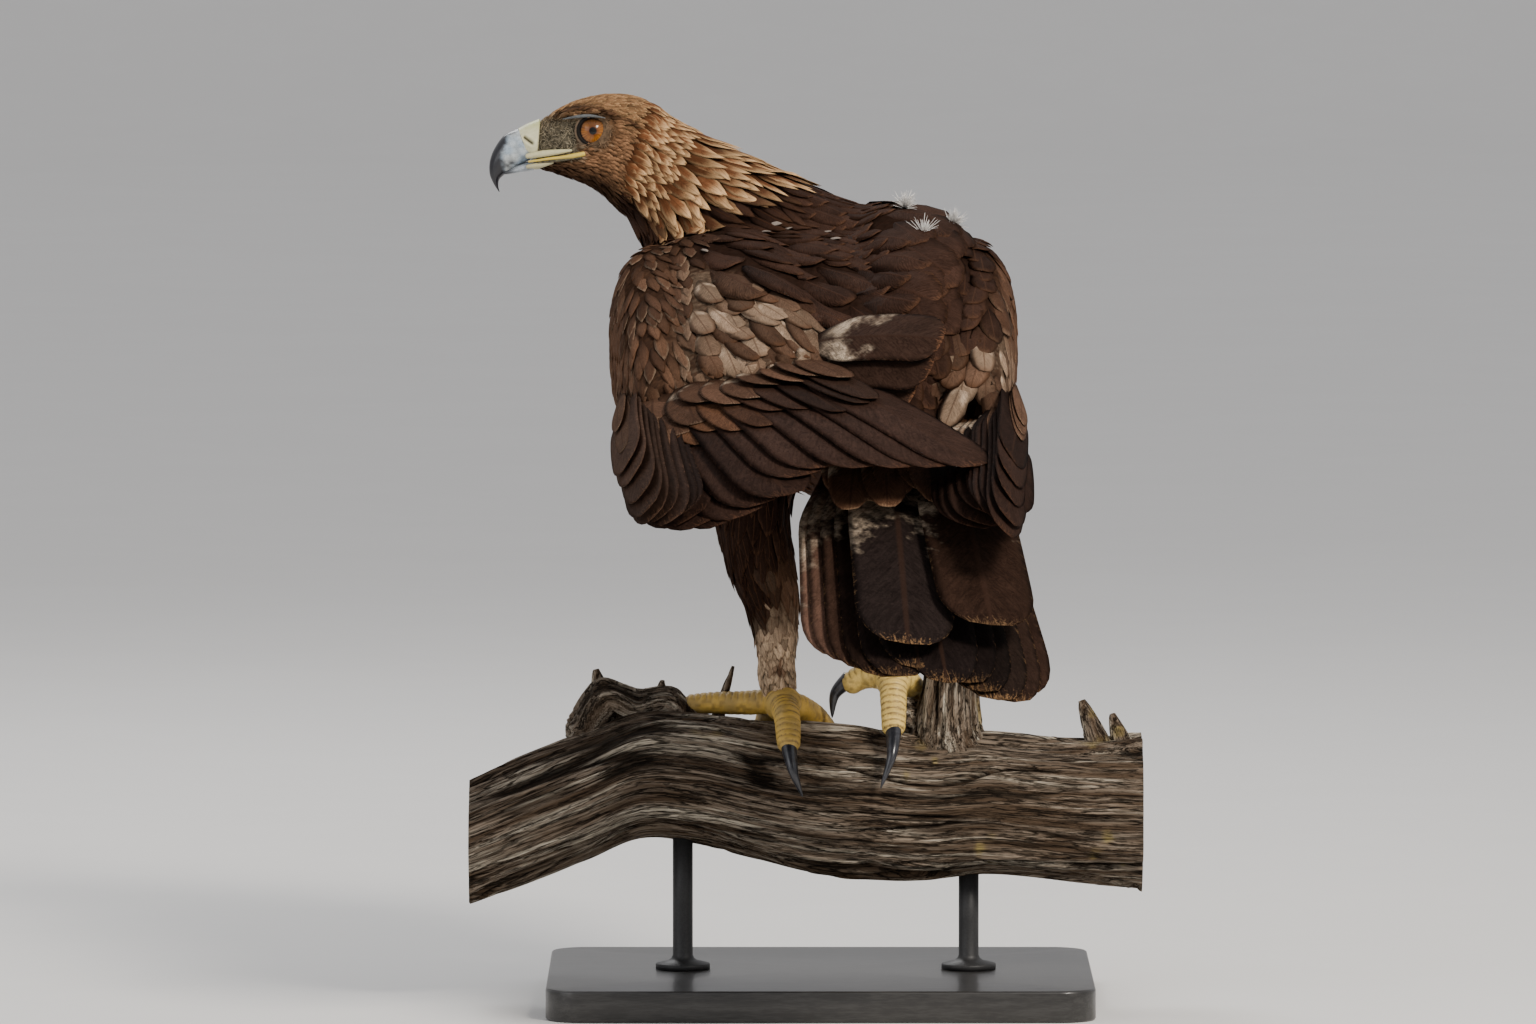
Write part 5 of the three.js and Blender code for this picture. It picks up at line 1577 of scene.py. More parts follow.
@dataclass(frozen=True)
class Tier:
    """A row of large feathers between a curve of roots and a curve of tips.

    Attributes:
        name: What they are.
        count: How many.
        roots: Root curve, as rows seen by the camera.
        tips: Tip curve.
        faces: The way the upper sides look, as a curve.
        width: Full width.
        arch: How far the middle rises.
        roll: Degrees that each tips over the next.
        cover: The share of the length that is used, less than 1 for coverts.
        lift: How far the row lies over its curves.
        ground: The feathers' colour, or colours along the row.
        fringe: Their edges' colour, or colours along the row.
        edge: Strength of the fringe.
        pale: Strength of the pale base, or strengths along the row.
        tip: The outline.
        seed: Varies lengths and shades.
        step: How far each lies under the one nearer the middle.
        bow: How far the middle bends sideways.
        uneven: How much the lengths differ.
    """

    name: str
    count: int
    roots: list
    tips: list
    faces: list
    width: float
    arch: float = 5.0
    roll: float = 0.0
    cover: float = 1.0
    lift: float = 0.0
    ground: object = (0.024, 0.013, 0.0095)
    fringe: object = (0.11, 0.05, 0.026)
    edge: float = 0.45
    pale: object = 0.0
    tip: Tip = Tip.BLUNT
    seed: int = 1
    step: float = 0.0
    bow: float = 0.0
    uneven: float = 0.05

    def shell(self) -> Shell:
        """The feathers: root to tip with a parabola's rise, tipped by the roll, in a lens section.

        Returns:
            The feathers, coloured.
        """
        rng = np.random.default_rng(self.seed)
        t = np.linspace(0, 1, self.count) if self.count > 1 else np.array([0.5])

        def curve(rows: object) -> Array:
            """The smooth curve through some rows, at each feather's place in the tier."""
            rows = np.asarray(rows, float)
            return smooth(np.repeat(rows, 2, 0) if len(rows) == 1 else rows, t)

        root, face = curve(seen(self.roots)), unit(curve(self.faces))
        t = (t + (rng.random(self.count) - 0.5) * min(2.5 * self.uneven, 1) / self.count).clip(0, 1)
        tip = curve(seen(self.tips))
        vary = 1 + (rng.random(self.count) - 0.5)[:, None] * self.uneven
        tip = root + (tip - root) * vary
        v = np.concatenate([[0, 0.02], np.linspace(0.08, 0.84, 15), [0.89, 0.93, 0.965, 0.988, 1.0]])
        s = v * self.cover
        drop = np.abs(t - 0.5)[:, None, None] * (self.count - 1) * self.step
        rise = (self.arch * 4 * s * (1 - s) + self.lift)[None, :, None]
        middle = root[:, None] + (tip - root)[:, None] * s[None, :, None] + face[:, None] * (rise - drop)
        run = unit(tip - root)
        face = unit(face - run * (face * run).sum(1, keepdims=True))
        middle = middle + np.cross(run, face)[:, None] * (self.bow * 4 * s * (1 - s))[None, :, None]
        angle = np.radians(self.roll + 1.2 * rng.standard_normal(self.count))[:, None]
        face = face * np.cos(angle) + np.cross(run, face) * np.sin(angle)
        face = np.repeat(face[:, None], len(v), 1)
        half = self.width / 2 * self.tip.half(v)[None] * (0.97 + 0.06 * rng.random(self.count))[:, None]
        shell = vanes(middle, face, half, LENS_FULL, 0.65, 0.05)
        each = len(shell.points) // self.count
        shade = 1 + 0.22 * rng.standard_normal(self.count)[:, None].clip(-1.5, 1.5)
        ground = curve(np.atleast_2d(self.ground)) * shade
        ground = np.concatenate([ground, np.full((self.count, 1), self.edge)], 1)
        fringe = curve(np.atleast_2d(self.fringe)) * shade
        fringe = np.concatenate([fringe, curve(np.atleast_1d(self.pale)[:, None])], 1)
        return shell.painted(Ground=np.repeat(ground, each, 0), Fringe=np.repeat(fringe, each, 0))


LEFT_SECONDARIES = {
    "roots": [(-116, -110, 416), (-90, -120, 424), (-52, -115, 430), (-20, -100, 444)],
    "tips": [(-88, -305, 334), (-60, -312, 335), (-32, -305, 351), (0, -290, 369), (48, -280, 374),
             (102, -266, 375)],
    "faces": [(-0.5, -0.3, 0.8), (-0.1, -0.35, 0.93), (0.15, -0.35, 0.93)],
}
LEFT_PRIMARIES = {
    "roots": [(-134, -50, 424), (-127, -90, 420), (-116, -125, 412)],
    "tips": [(-131, -262, 376), (-121, -322, 354), (-112, -350, 336), (-101, -334, 338), (-92, -314, 343)],
    "faces": [(-0.9, -0.15, 0.4), (-0.75, -0.2, 0.6), (-0.5, -0.3, 0.8)],
}
RIGHT_PRIMARIES = {
    "roots": [(132, -55, 428), (127, -90, 422), (118, -125, 414)],
    "tips": [(128, -250, 382), (126, -318, 354), (123, -346, 334), (117, -330, 338), (112, -312, 344)],
    "faces": [(0.9, -0.15, 0.4), (0.8, -0.2, 0.55), (0.6, -0.3, 0.75)],
}
RIGHT_SECONDARIES = {
    "roots": [(118, -110, 406), (106, -112, 404), (94, -112, 402)],
    "tips": [(122, -300, 346), (108, -306, 336), (96, -298, 331)],
    "faces": [(0.5, -0.3, 0.8), (0.25, -0.35, 0.93)],
}
TERTIALS = {
    "roots": [(-32, -106, 426), (-24, -100, 440), (-18, -92, 456)],
    "tips": [(64, -150, 422), (76, -148, 440), (84, -138, 460)],
    "faces": [(0.1, -0.68, 0.73)],
}
TAIL = {
    "roots": [(10, -134, 384), (50, -132, 392), (90, -134, 380)],
    "tips": [(13, -372, 250), (32, -392, 240), (56, -400, 236), (92, -402, 228), (116, -398, 221),
             (136, -384, 224)],
    "faces": [(0.16, -0.45, 0.88)],
}
TAIL_COVERTS = {
    "roots": [(24, -134, 390), (52, -132, 394), (76, -134, 388)],
    "tips": [(16, -238, 340), (42, -246, 340), (72, -246, 338), (98, -240, 326)],
    "faces": [(-0.2, -0.45, 0.85), (0.16, -0.45, 0.88), (0.4, -0.45, 0.8)],
}
TAIL_FACE = [(0.16, -0.45, 0.88)]
COVERT_BROWN = (0.085, 0.04, 0.021)


class Tiers:
    """The flight feathers, their coverts and the tail."""

    wings = [
        Tier("left_primaries", 9, **LEFT_PRIMARIES, width=36, arch=4, roll=-5, seed=11, uneven=0.1,
             ground=[(0.05, 0.028, 0.019), (0.03, 0.017, 0.012), (0.018, 0.011, 0.009)],
             fringe=(0.16, 0.085, 0.048)),
        Tier("left_secondaries", 12, **LEFT_SECONDARIES, width=56, arch=8, roll=-2.5, bow=7, seed=12,
             uneven=0.09),
        Tier("left_primary_coverts", 10, **LEFT_PRIMARIES, width=20, arch=4, roll=-6, cover=0.62, lift=4,
             ground=(0.095, 0.052, 0.032), fringe=(0.36, 0.25, 0.16), edge=0.6, seed=13, tip=Tip.ROUND,
             uneven=0.5),
        Tier("left_greater_coverts", 12, **LEFT_SECONDARIES, width=36, arch=8, roll=-6, cover=0.52, lift=4,
             bow=7, ground=[COVERT_BROWN, COVERT_BROWN, (0.035, 0.018, 0.012), (0.025, 0.014, 0.010)],
             fringe=[(0.32, 0.22, 0.14), (0.26, 0.16, 0.10), (0.12, 0.06, 0.035), (0.10, 0.05, 0.03)],
             seed=14, tip=Tip.ROUND, uneven=0.34),
        Tier("left_median_coverts", 11, **LEFT_SECONDARIES, width=34, arch=8, roll=-6, cover=0.34, lift=8,
             bow=7, ground=(0.085, 0.045, 0.028), fringe=(0.34, 0.24, 0.16), edge=0.6,
             pale=(0.1, 0.35, 0.45, 0.2), seed=17, tip=Tip.ROUND, uneven=0.5),
        Tier("tertials", 3, **TERTIALS, width=48, arch=7, ground=(0.031, 0.017, 0.012),
             fringe=(0.22, 0.10, 0.05), edge=0.7, pale=(0.1, 0.4, 0.62), seed=15, uneven=0.0),
        Tier("right_primaries", 8, **RIGHT_PRIMARIES, width=36, arch=4, roll=5, seed=21, uneven=0.1),
        Tier("right_secondaries", 6, **RIGHT_SECONDARIES, width=46, arch=8, roll=2.5, seed=22, uneven=0.09),
        Tier("right_primary_coverts", 9, **RIGHT_PRIMARIES, width=20, arch=4, roll=6, cover=0.58, lift=4,
             ground=(0.095, 0.052, 0.032), fringe=(0.36, 0.25, 0.16), edge=0.6, seed=23, tip=Tip.ROUND,
             uneven=0.45),
        Tier("right_greater_coverts", 7, **RIGHT_SECONDARIES, width=36, arch=8, roll=6, cover=0.54, lift=4,
             ground=COVERT_BROWN, fringe=(0.30, 0.20, 0.13), pale=0.55, seed=24, tip=Tip.ROUND, uneven=0.34),
    ]
    tail = [
        Tier("rectrices", 12, **TAIL, width=52, arch=3, step=1.5, fringe=(0.34, 0.19, 0.085), edge=0.5,
             seed=41, pale=(0.7, 0.4, 0.3, 0.2, 0.2, 0.4),
             ground=[(0.11, 0.06, 0.042), (0.03, 0.016, 0.011), (0.012, 0.008, 0.007),
                     (0.012, 0.008, 0.007), (0.014, 0.009, 0.007), (0.03, 0.016, 0.011)]),
        Tier("tail_middle", 1, [(46, -146, 380)], [(56, -398, 246)], TAIL_FACE, width=66, arch=3, lift=7,
             ground=(0.013, 0.009, 0.008), fringe=(0.34, 0.19, 0.085), edge=0.6, pale=0.62, seed=44),
        Tier("tail_overlay", 1, [(86, -146, 376)], [(112, -372, 252)], TAIL_FACE, width=66, arch=4, lift=13,
             ground=(0.034, 0.018, 0.012), fringe=(0.34, 0.2, 0.1), edge=0.6, pale=0.5, seed=43),
        Tier("tail_coverts", 10, **TAIL_COVERTS, width=34, arch=3, lift=14, ground=(0.095, 0.047, 0.027),
             fringe=(0.40, 0.26, 0.15), edge=0.7, pale=0.7, seed=42, tip=Tip.ROUND, uneven=0.4),
    ]

    def make(self, shop: Workshop) -> None:
        """Makes one piece for the wings and one for the tail.

        Args:
            shop: Turns each into a piece.
        """
        for name, tiers, slot in (("flight_feathers", self.wings, "wing_plumage"),
                                  ("tail_feathers", self.tail, "tail_plumage")):
            shell = Shell.joined([tier.shell() for tier in tiers])
            shell.maps["OFBake"] = self.spread(shell, sum(tier.count for tier in tiers))
            shop.piece(name, shell, FINISHES["flight"], slot)
            LOG.info("%s: %s", name, ", ".join(f"{tier.count} {tier.name}" for tier in tiers))

    @staticmethod
    def spread(shell: Shell, count: int) -> Array:
        """The bake map: each feather has a cell of its own, side by side in rows.

        Args:
            shell: The feathers.
            count: How many they are.

        Returns:
            The map.
        """
        columns = math.ceil(math.sqrt(count * 3))
        cell = np.array([1 / columns, 1 / math.ceil(count / columns)])
        i = np.arange(count)
        corner = np.stack([i % columns, i // columns], -1) * cell
        uv = shell.maps["Vane"].reshape(count, -1, 4, 2)
        return (corner[:, None, None] + (0.05 + uv * 0.9) * cell).reshape(-1, 4, 2)


@dataclass
class Head:
    """Bill, cere, gape, eyes, lids and brows.

    Attributes:
        lid: Ring radius, tube radius, stretch and distance out from the eye's centre.
        ledge: Points and radii of the bare ledge under each brow.
        lips: Colours, points and radii of the mouth's fleshy edges; the last, near black, is painted shade in
            the crease between them.
        culmen: Heights on the bill, its ridge's place across there, and the black band's width.
        eye_radius: Radius of each eyeball.
        cornea: How far the cornea stands out of it.
    """

    lid: tuple[float, float, float, float] = (9.9, 0.95, 1.04, 7.5)
    ledge: tuple = ((-181, 99, 618.3, 0.3), (-171, 94.2, 619.9, 1.1), (-161, 90.6, 620.4, 1.1),
                    (-151, 90.2, 618.8, 0.3))
    lips: tuple = (
        ((0.72, 0.52, 0.08), ((-205, 109.8, 588.8, 0.7), (-192.5, 106.0, 590.4, 1.2), (-182, 102, 591.4, 1.3),
                              (-173, 98.2, 592.6, 1.7), (-166, 96, 593.9, 1.7))),
        ((0.60, 0.56, 0.33), ((-206, 109.2, 592.6, 1.8), (-195, 105.8, 594.2, 2.4), (-184, 102.2, 595.4, 1.8),
                              (-175, 99.4, 596.4, 0.9))),
        ((0.46, 0.42, 0.25), ((-206, 110.4, 585.2, 1.4), (-197, 107.8, 586.2, 2.0),
                              (-188, 105.2, 588.2, 1.0))),
        # painted shade: a near-black edge in the crease of the gape
        ((0.02, 0.014, 0.010), ((-198, 107.0, 588.0, 0.8), (-185, 102.8, 589.4, 1.0),
                                (-168, 96.8, 591.4, 0.9))),
    )
    culmen: tuple = ((567, -226.6, 20), (573.5, -230.3, 20), (580.5, -233, 12), (588, -233, 7),
                     (598.6, -229.4, 5), (607.5, -222.7, 2.6), (612.5, -212.7, 0.5))
    eye_radius: float = 12.0
    cornea: float = 0.7
    horn: HardFinish = HardFinish("bill_horn", (0.02, 0.022, 0.028), 0.35, 260, 0.3, 0.12, coat=0.3)
    flesh: HardFinish = HardFinish("cere_skin", (0.42, 0.36, 0.16), 0.3, 500, 0.45, 0.25, coat=0.1)
    lid_skin: HardFinish = HardFinish("lid_skin", (0.012, 0.009, 0.007), 0.4, 500, 0.6, 0.25, gloss=0.15)

    @staticmethod
    def both_sides(rows: Array, side: int) -> Loft:
        """A fleshy edge on one side of the head.

        Args:
            rows: Points and radii on the near side.
            side: -1 for the near side, or 1 for its mirror image.

        Returns:
            The edge.
        """
        rows = np.array(rows, float)
        rows[:, 1] = HEAD_DEPTH + side * (HEAD_DEPTH - rows[:, 1])
        return limb(seen(rows[:, :3]), rows[:, 3])

    def horn_colour(self, points: Array) -> Array:
        """Pale blue-grey, and black within a band along the ridge that widens to the whole hook.

        Args:
            points: Points of the bill.

        Returns:
            Their colours, with 1 as a fourth number.
        """
        x, height = points[:, 0], picture_height(points)
        level, ridge, band = np.array(self.culmen).T
        inside = x - np.interp(height, level, ridge)
        inside = inside + 1.6 * noise(points / 3.2, 2) + 0.8 * noise(points / 1.2, 5)
        dark = 1 - ease(-1.0, 3.5, inside - np.interp(height, level, band))
        smudge = np.exp(-(((x + 219) / 5) ** 2) - ((height - 587) / 2.6) ** 2)
        dark = np.clip(dark + 0.8 * smudge * (1 + noise(points / 2.1, 6)), 0, 1)
        base = blend((0.34, 0.42, 0.50), (0.50, 0.54, 0.55), ease(-0.4, 0.6, noise(points / 5, 3)))
        return opaque(blend(base, (0.012, 0.012, 0.016), dark))

    def bill(self) -> Shell:
        """The upper bill."""
        shell = profiles(BILL_ROWS).closed(rows=56, sides=48)
        return shell.painted(Ground=self.horn_colour(shell.points))

    def lower_bill(self) -> Shell:
        """The lower bill.

        Returns:
            The shell, dark at its tip.
        """
        shell = profiles(LOWER_BILL_ROWS).closed(rows=24, sides=32)
        dark = ease(-212, -221, shell.points[:, 0])
        return shell.painted(Ground=opaque(blend((0.36, 0.40, 0.44), (0.03, 0.032, 0.04), dark)))

    def cere(self) -> Shell:
        """The cere, dented at each nostril, with painted shade in the dents.

        Returns:
            The cere with the mouth's fleshy edges.
        """
        shell = profiles(CERE_ROWS, ends=(2, 0)).closed(rows=40, sides=120)
        x, y, z = shell.points.T
        a, b = seen([-208, HEAD_DEPTH, 606.2]), seen([-203, HEAD_DEPTH, 602.5])
        run = np.clip(((x - a[0]) * (b[0] - a[0]) + (z - a[2]) * (b[2] - a[2])) / ((b - a) @ (b - a)), 0, 1)
        away = np.hypot(x - a[0] - run * (b[0] - a[0]), z - a[2] - run * (b[2] - a[2]))
        dent, brim = np.exp(-((away / 1.0) ** 2)), np.exp(-(((away - 2.6) / 1.1) ** 2))
        shell.points[:, 1] += np.sign(y - HEAD_DEPTH) * (0.5 * brim - 2.0 * dent)
        height = picture_height(shell.points)
        edge = np.interp(x, [-213.5, -210, -205, -198], [612.5, 600, 595.3, 594])
        horn = self.horn_colour(shell.points)[:, :3]
        flesh = blend((0.62, 0.60, 0.40), (0.50, 0.52, 0.24), ease(609, 617, height))
        # painted shade: the nostril's dent darkened as its hollow
        colour = blend(blend(horn, flesh, ease(-0.7, 0.9, height - edge)), (0.03, 0.02, 0.012), dent)
        shell.painted(Ground=opaque(colour))
        edges = [self.both_sides(rows, side).closed(rows=30, sides=16).painted(Ground=(*colour, 1))
                 for side in (-1, 1) for colour, rows in self.lips]
        return Shell.joined([shell, *edges])

    def eyeball(self, side: int) -> Shell:
        """An eyeball of circles round its axis.

        Args:
            side: -1 for the left one, 1 for the right one.

        Returns:
            The shell, with the cornea's low bulge at its outer pole.
        """
        turns = np.linspace(0, math.pi, 34)[1:-1]
        bulge = self.eye_radius + self.cornea * np.exp(-((turns / 0.55) ** 2))
        around = circle(48)
        centre = EYE + (0, side * EYE_SIDE, 0)
        ring = np.stack([np.cos(around), np.zeros(48), np.sin(around)], -1)
        out = np.array([0, side, 0])
        wide, deep = ((f(turns) * bulge)[:, None, None] for f in (np.sin, np.cos))
        rings = centre + ring[None] * wide + out * deep
        return tube(rings, (centre + out * (self.eye_radius + self.cornea), centre - out * self.eye_radius))

    def lids(self) -> Shell:
        """Rings round the eyes, with a crease, and the ridges over them.

        Returns:
            All of them as one shell.
        """
        radius, thick, stretch, out = self.lid
        shells = []
        for side in (-1, 1):
            turn, around = circle(64)[:, None], circle(14)[None]
            for wider, colour in ((0, (0.006, 0.004, 0.003, 1)), (1.5, (0.15, 0.105, 0.068, 1))):
                spread = radius + wider + thick * np.cos(around) * 1.3
                x, z = np.cos(turn) * spread * stretch, np.sin(turn) * spread
                y = side * (EYE_SIDE + out - wider * 0.7 + thick * np.sin(around))
                rings = np.stack(np.broadcast_arrays(x, y, z), -1)
                shells.append(self.ring(EYE + rings, colour))
            ledge = self.both_sides(self.ledge, side).closed(rows=32, sides=16)
            shells.append(ledge.painted(Ground=(0.13, 0.138, 0.14, 1)))
        return Shell.joined([Shell(s.points, s.faces, {}, s.marks) for s in shells])

    @staticmethod
    def ring(rings: Array, colour: tuple) -> Shell:
        """A closed hoop: rings of points joined, the last one to the first.

        Args:
            rings: The rings.
            colour: Colour of the whole hoop.

        Returns:
            The shell.
        """
        count, sides = rings.shape[:2]
        i, j = np.meshgrid(np.arange(count), np.arange(sides), indexing="ij")
        k, m = (i + 1) % count, (j + 1) % sides
        faces = np.stack([i * sides + j, i * sides + m, k * sides + m, k * sides + j], -1).reshape(-1, 4)
        return Shell(rings.reshape(-1, 3), faces).outward().painted(Ground=colour)

    def make(self, shop: Workshop) -> None:
        """Makes the head's hard parts.

        Args:
            shop: Turns each into a piece.
        """
        shop.piece("bill_top", self.bill(), self.horn, "bill_horn", "bill_upper")
        shop.piece("bill_under", self.lower_bill(), self.horn, "bill_horn", "bill_lower")
        shop.piece("cere_and_gape", self.cere(), self.flesh, "yellow_skin", "cere")
        shop.piece("lids", self.lids(), self.lid_skin, "head_plumage")
        for side, name in ((-1, "left"), (1, "right")):
            shop.piece(f"eyeball_{name}", self.eyeball(side), EyeFinish(), "eye", f"eye_{name}")


LOG_ROWS = np.array([  # place along, height of the middle, half height
    (-245, 110, 43), (-205, 126, 45), (-165, 142, 45), (-125, 158, 43), (-85, 157, 45), (-45, 149, 49),
    (-5, 142, 53), (35, 139, 53), (75, 136, 51), (115, 138, 49), (155, 135, 49), (190, 133, 50),
    (225, 132, 54),
], float)
LOG_DEPTH = 46.0


def on_log(x: float, angle: float, above: float) -> Array:
    """A point over the log.

    Args:
        x: Its place along the log.
        angle: Degrees from the crest, positive on the far side.
        above: Its distance from the log.

    Returns:
        The point.
    """
    middle, half = (float(np.interp(x, LOG_ROWS[:, 0], LOG_ROWS[:, k])) for k in (1, 2))
    turn = math.radians(angle)
    return seen([x, (LOG_DEPTH + above) * math.sin(turn), middle + (half + above) * math.cos(turn)])


FEET = {
    "left": {
        "palm": (seen([-26, -10, 208]), seen([-27, 12, 209]), 13),
        "outer": (seen([(-36, 4, 209), (-54, 9, 208), (-74, 14, 208), (-90, 17, 207)]),
                  seen([(-90, 18, 207), (-97, 36, 204), (-98, 52, 188)])),
        "middle": ([on_log(-30, 12, 10), on_log(-36, 32, 9), on_log(-40, 55, 9), on_log(-42, 76, 8.5)],
                   [on_log(-42, 76, 8.5), on_log(-42, 100, 9), on_log(-40, 122, 4)]),
        "inner": ([on_log(-16, 10, 10), on_log(-4, 26, 9), on_log(6, 44, 8.5)],
                  [on_log(6, 44, 8.5), on_log(12, 72, 10), on_log(12, 98, 4)]),
        "hallux": (seen([(-25, -14, 206), (-23, -32, 198), (-22, -46, 181)]),
                   seen([(-22, -47, 179), (-19, -58, 162), (-12.5, -56, 144)])),
    },
    "right": {
        "palm": (seen([51, -9, 224]), seen([52, 12, 225]), 12.5),
        "outer": (seen([(60, 14, 224), (72, 34, 210), (84, 48, 190), (90, 55, 172)]),
                  seen([(90, 55, 172), (92, 60, 156), (91, 54, 140)])),
        "middle": (seen([(53, 16, 223), (54, 36, 206), (55, 51, 184), (56, 57, 162)]),
                   seen([(56, 57, 162), (57, 60, 143), (57, 50, 122)])),
        "inner": (seen([(43, 3, 227), (31, 8, 227), (22, 10, 222)]),
                  seen([(21, 10, 225), (10.5, 12, 214), (8.5, 10, 198)])),
        "hallux": (seen([(51, -13, 221), (51, -25, 208), (51, -36, 192)]),
                   seen([(51, -37, 191), (49.5, -53, 172), (42, -57, 150)])),
    },
}
TOE_RADII = {"outer": (9, 7), "middle": (9.5, 7.2), "inner": (9.8, 8.2), "hallux": (10, 8.4)}
CLAW_RADII = {"outer": 5, "middle": 5.5, "inner": 6.4, "hallux": 6.6}


@dataclass
class Foot:
    """One foot: a skin of palm and toes with plates on their tops, and four claws.

    Attributes:
        side: "left" or "right".
        plate: Length of a plate along the toe.
        rise: How far a plate's front edge stands up.
        voxel: Size of the voxels that make one skin of palm and toes.
        smoothing: Rounds of smoothing of that skin.
    """

    side: str
    plate: float = 4.6
    rise: float = 0.6
    voxel: float = 0.95
    smoothing: int = 3
    skin: HardFinish = HardFinish("foot_skin", (0.42, 0.26, 0.06), 0.45, 420, 0.6, 0.35, 0.0006, coat=0.05)
    horn: HardFinish = HardFinish("claw_horn", (0.05, 0.05, 0.06), 0.5, 200, 0.28, 0.1, coat=0.35,
                                  ground=(0.012, 0.013, 0.017))

    def flesh(self) -> Shell:
        """Palm and toes as one skin: (place along / plate) mod 1 lifts each plate's front edge.

        Returns:
            The skin, coloured.
        """
        foot = FEET[self.side]
        heel, ball, radius = foot["palm"]
        shells = [limb([heel, ball], (radius, radius)).closed(rows=10, sides=28)]
        spine, reach, tops = [], [], []
        for kind, (thick, thin) in TOE_RADII.items():
            bones = np.array(foot[kind][0])
            radii = np.linspace(thick, thin, len(bones))
            shells.append(limb(bones, radii).closed(rows=30, sides=24))
            t = np.linspace(-0.12, 1.12, 70)
            spots = smooth(bones, t) + unit(bones[-1] - bones[-2]) * np.maximum(t - 1, 0)[:, None] * 60
            spots -= unit(bones[1] - bones[0]) * np.maximum(-t, 0)[:, None] * 60
            run = unit(np.gradient(spots, axis=0))
            spine.append(spots)
            reach.append(np.cumsum(np.append(0, np.linalg.norm(np.diff(spots, axis=0), axis=1))))
            tops.append(unit(np.cross(np.cross(run, self.away(spots)), run)))
        points, faces = remeshed(Shell.joined(shells), self.voxel, self.smoothing)
        spine, reach, tops = np.concatenate(spine), np.concatenate(reach), np.concatenate(tops)
        tree = kd_tree(spine)
        near = np.array([tree.find(p)[1] for p in points])
        out = unit(points - spine[near])
        top = ease(-0.1, 0.5, (out * tops[near]).sum(1))
        phase = (reach[near] / self.plate + 0.12 * noise(points / 3.5, 14)) % 1
        step = ease(0, 0.75, phase) * ease(1.0, 0.86, phase)
        pads = 0.25 * noise(points / 2.2, 4) * (1 - top)
        points = points + out * ((step - 0.5) * self.rise * top + pads)[:, None]
        groove = (1 - ease(0.0, 0.26, phase) * ease(1.0, 0.86, phase)) * top
        patch = ease(0.0, 0.6, noise(points / 2.4, 8)) * 0.5
        # painted light and shade: the right foot's yellow is lighter with weak dark noise, as lit, and the
        # left foot's darker with strong dark noise, as shaded
        shade = ease(-0.5, 0.6, noise(points / 9, 15)) * (0.75 if self.side == "left" else 0.3)
        bright = (0.60, 0.38, 0.07) if self.side == "left" else (0.76, 0.54, 0.15)
        colour = blend(bright, (0.30, 0.21, 0.07), shade)
        # painted shade: the seams between plates and noise patches on the undersides darkened
        colour = blend(colour, (0.10, 0.062, 0.024), np.clip(groove * 0.95 + patch * (1 - top), 0, 1))
        return Shell(points, faces).painted(Ground=opaque(colour))

    @staticmethod
    def away(spots: Array) -> Array:
        """The way out of the log's middle.

        Args:
            spots: Points near the log.

        Returns:
            A unit vector for each.
        """
        middle = np.interp(spots[:, 0], LOG_ROWS[:, 0], LOG_ROWS[:, 1])
        centre = seen(np.stack([spots[:, 0], np.zeros(len(spots)), middle], -1))
        return unit(spots - centre)

    def claw(self, kind: str) -> Shell:
        """A claw: radius * (1 - 0.93 * v^1.25) along a smooth curve, a little flat at its sides.

        Args:
            kind: The toe's name.

        Returns:
            The shell.
        """
        spine = np.array(FEET[self.side][kind][1])
        v = np.linspace(0, 1, 26)
        spots = smooth(spine, v)
        run = unit(np.gradient(spots, axis=0))
        bend = unit(np.cross(spine[1] - spine[0], spine[2] - spine[1]))
        deep = unit(np.cross(run, bend))
        size = CLAW_RADII[kind] * (1 - 0.93 * v**1.25)
        cos, sin = (f(circle(20))[None, :, None] for f in (np.cos, np.sin))
        rings = spots[:, None] + (cos * bend * 0.86 + sin * deep[:, None]) * size[:, None, None]
        return tube(rings, (spots[0] - run[0] * size[0] * 0.5, spots[-1] + run[-1] * 0.8))

    def make(self, shop: Workshop) -> None:
        """Makes the foot's two pieces.

        Args:
            shop: Turns each into a piece.
        """
        kinds = list(TOE_RADII)
        shop.piece(f"foot_skin_{self.side}", self.flesh(), self.skin, "yellow_skin", f"foot_{self.side}",
                   *(f"toe_{self.side}_{kind}" for kind in kinds))
        claws = Shell.joined([self.claw(kind) for kind in kinds])
        shop.piece(f"claws_{self.side}", claws, self.horn, "claw_horn",
                   *(f"claw_{self.side}_{kind}" for kind in kinds))


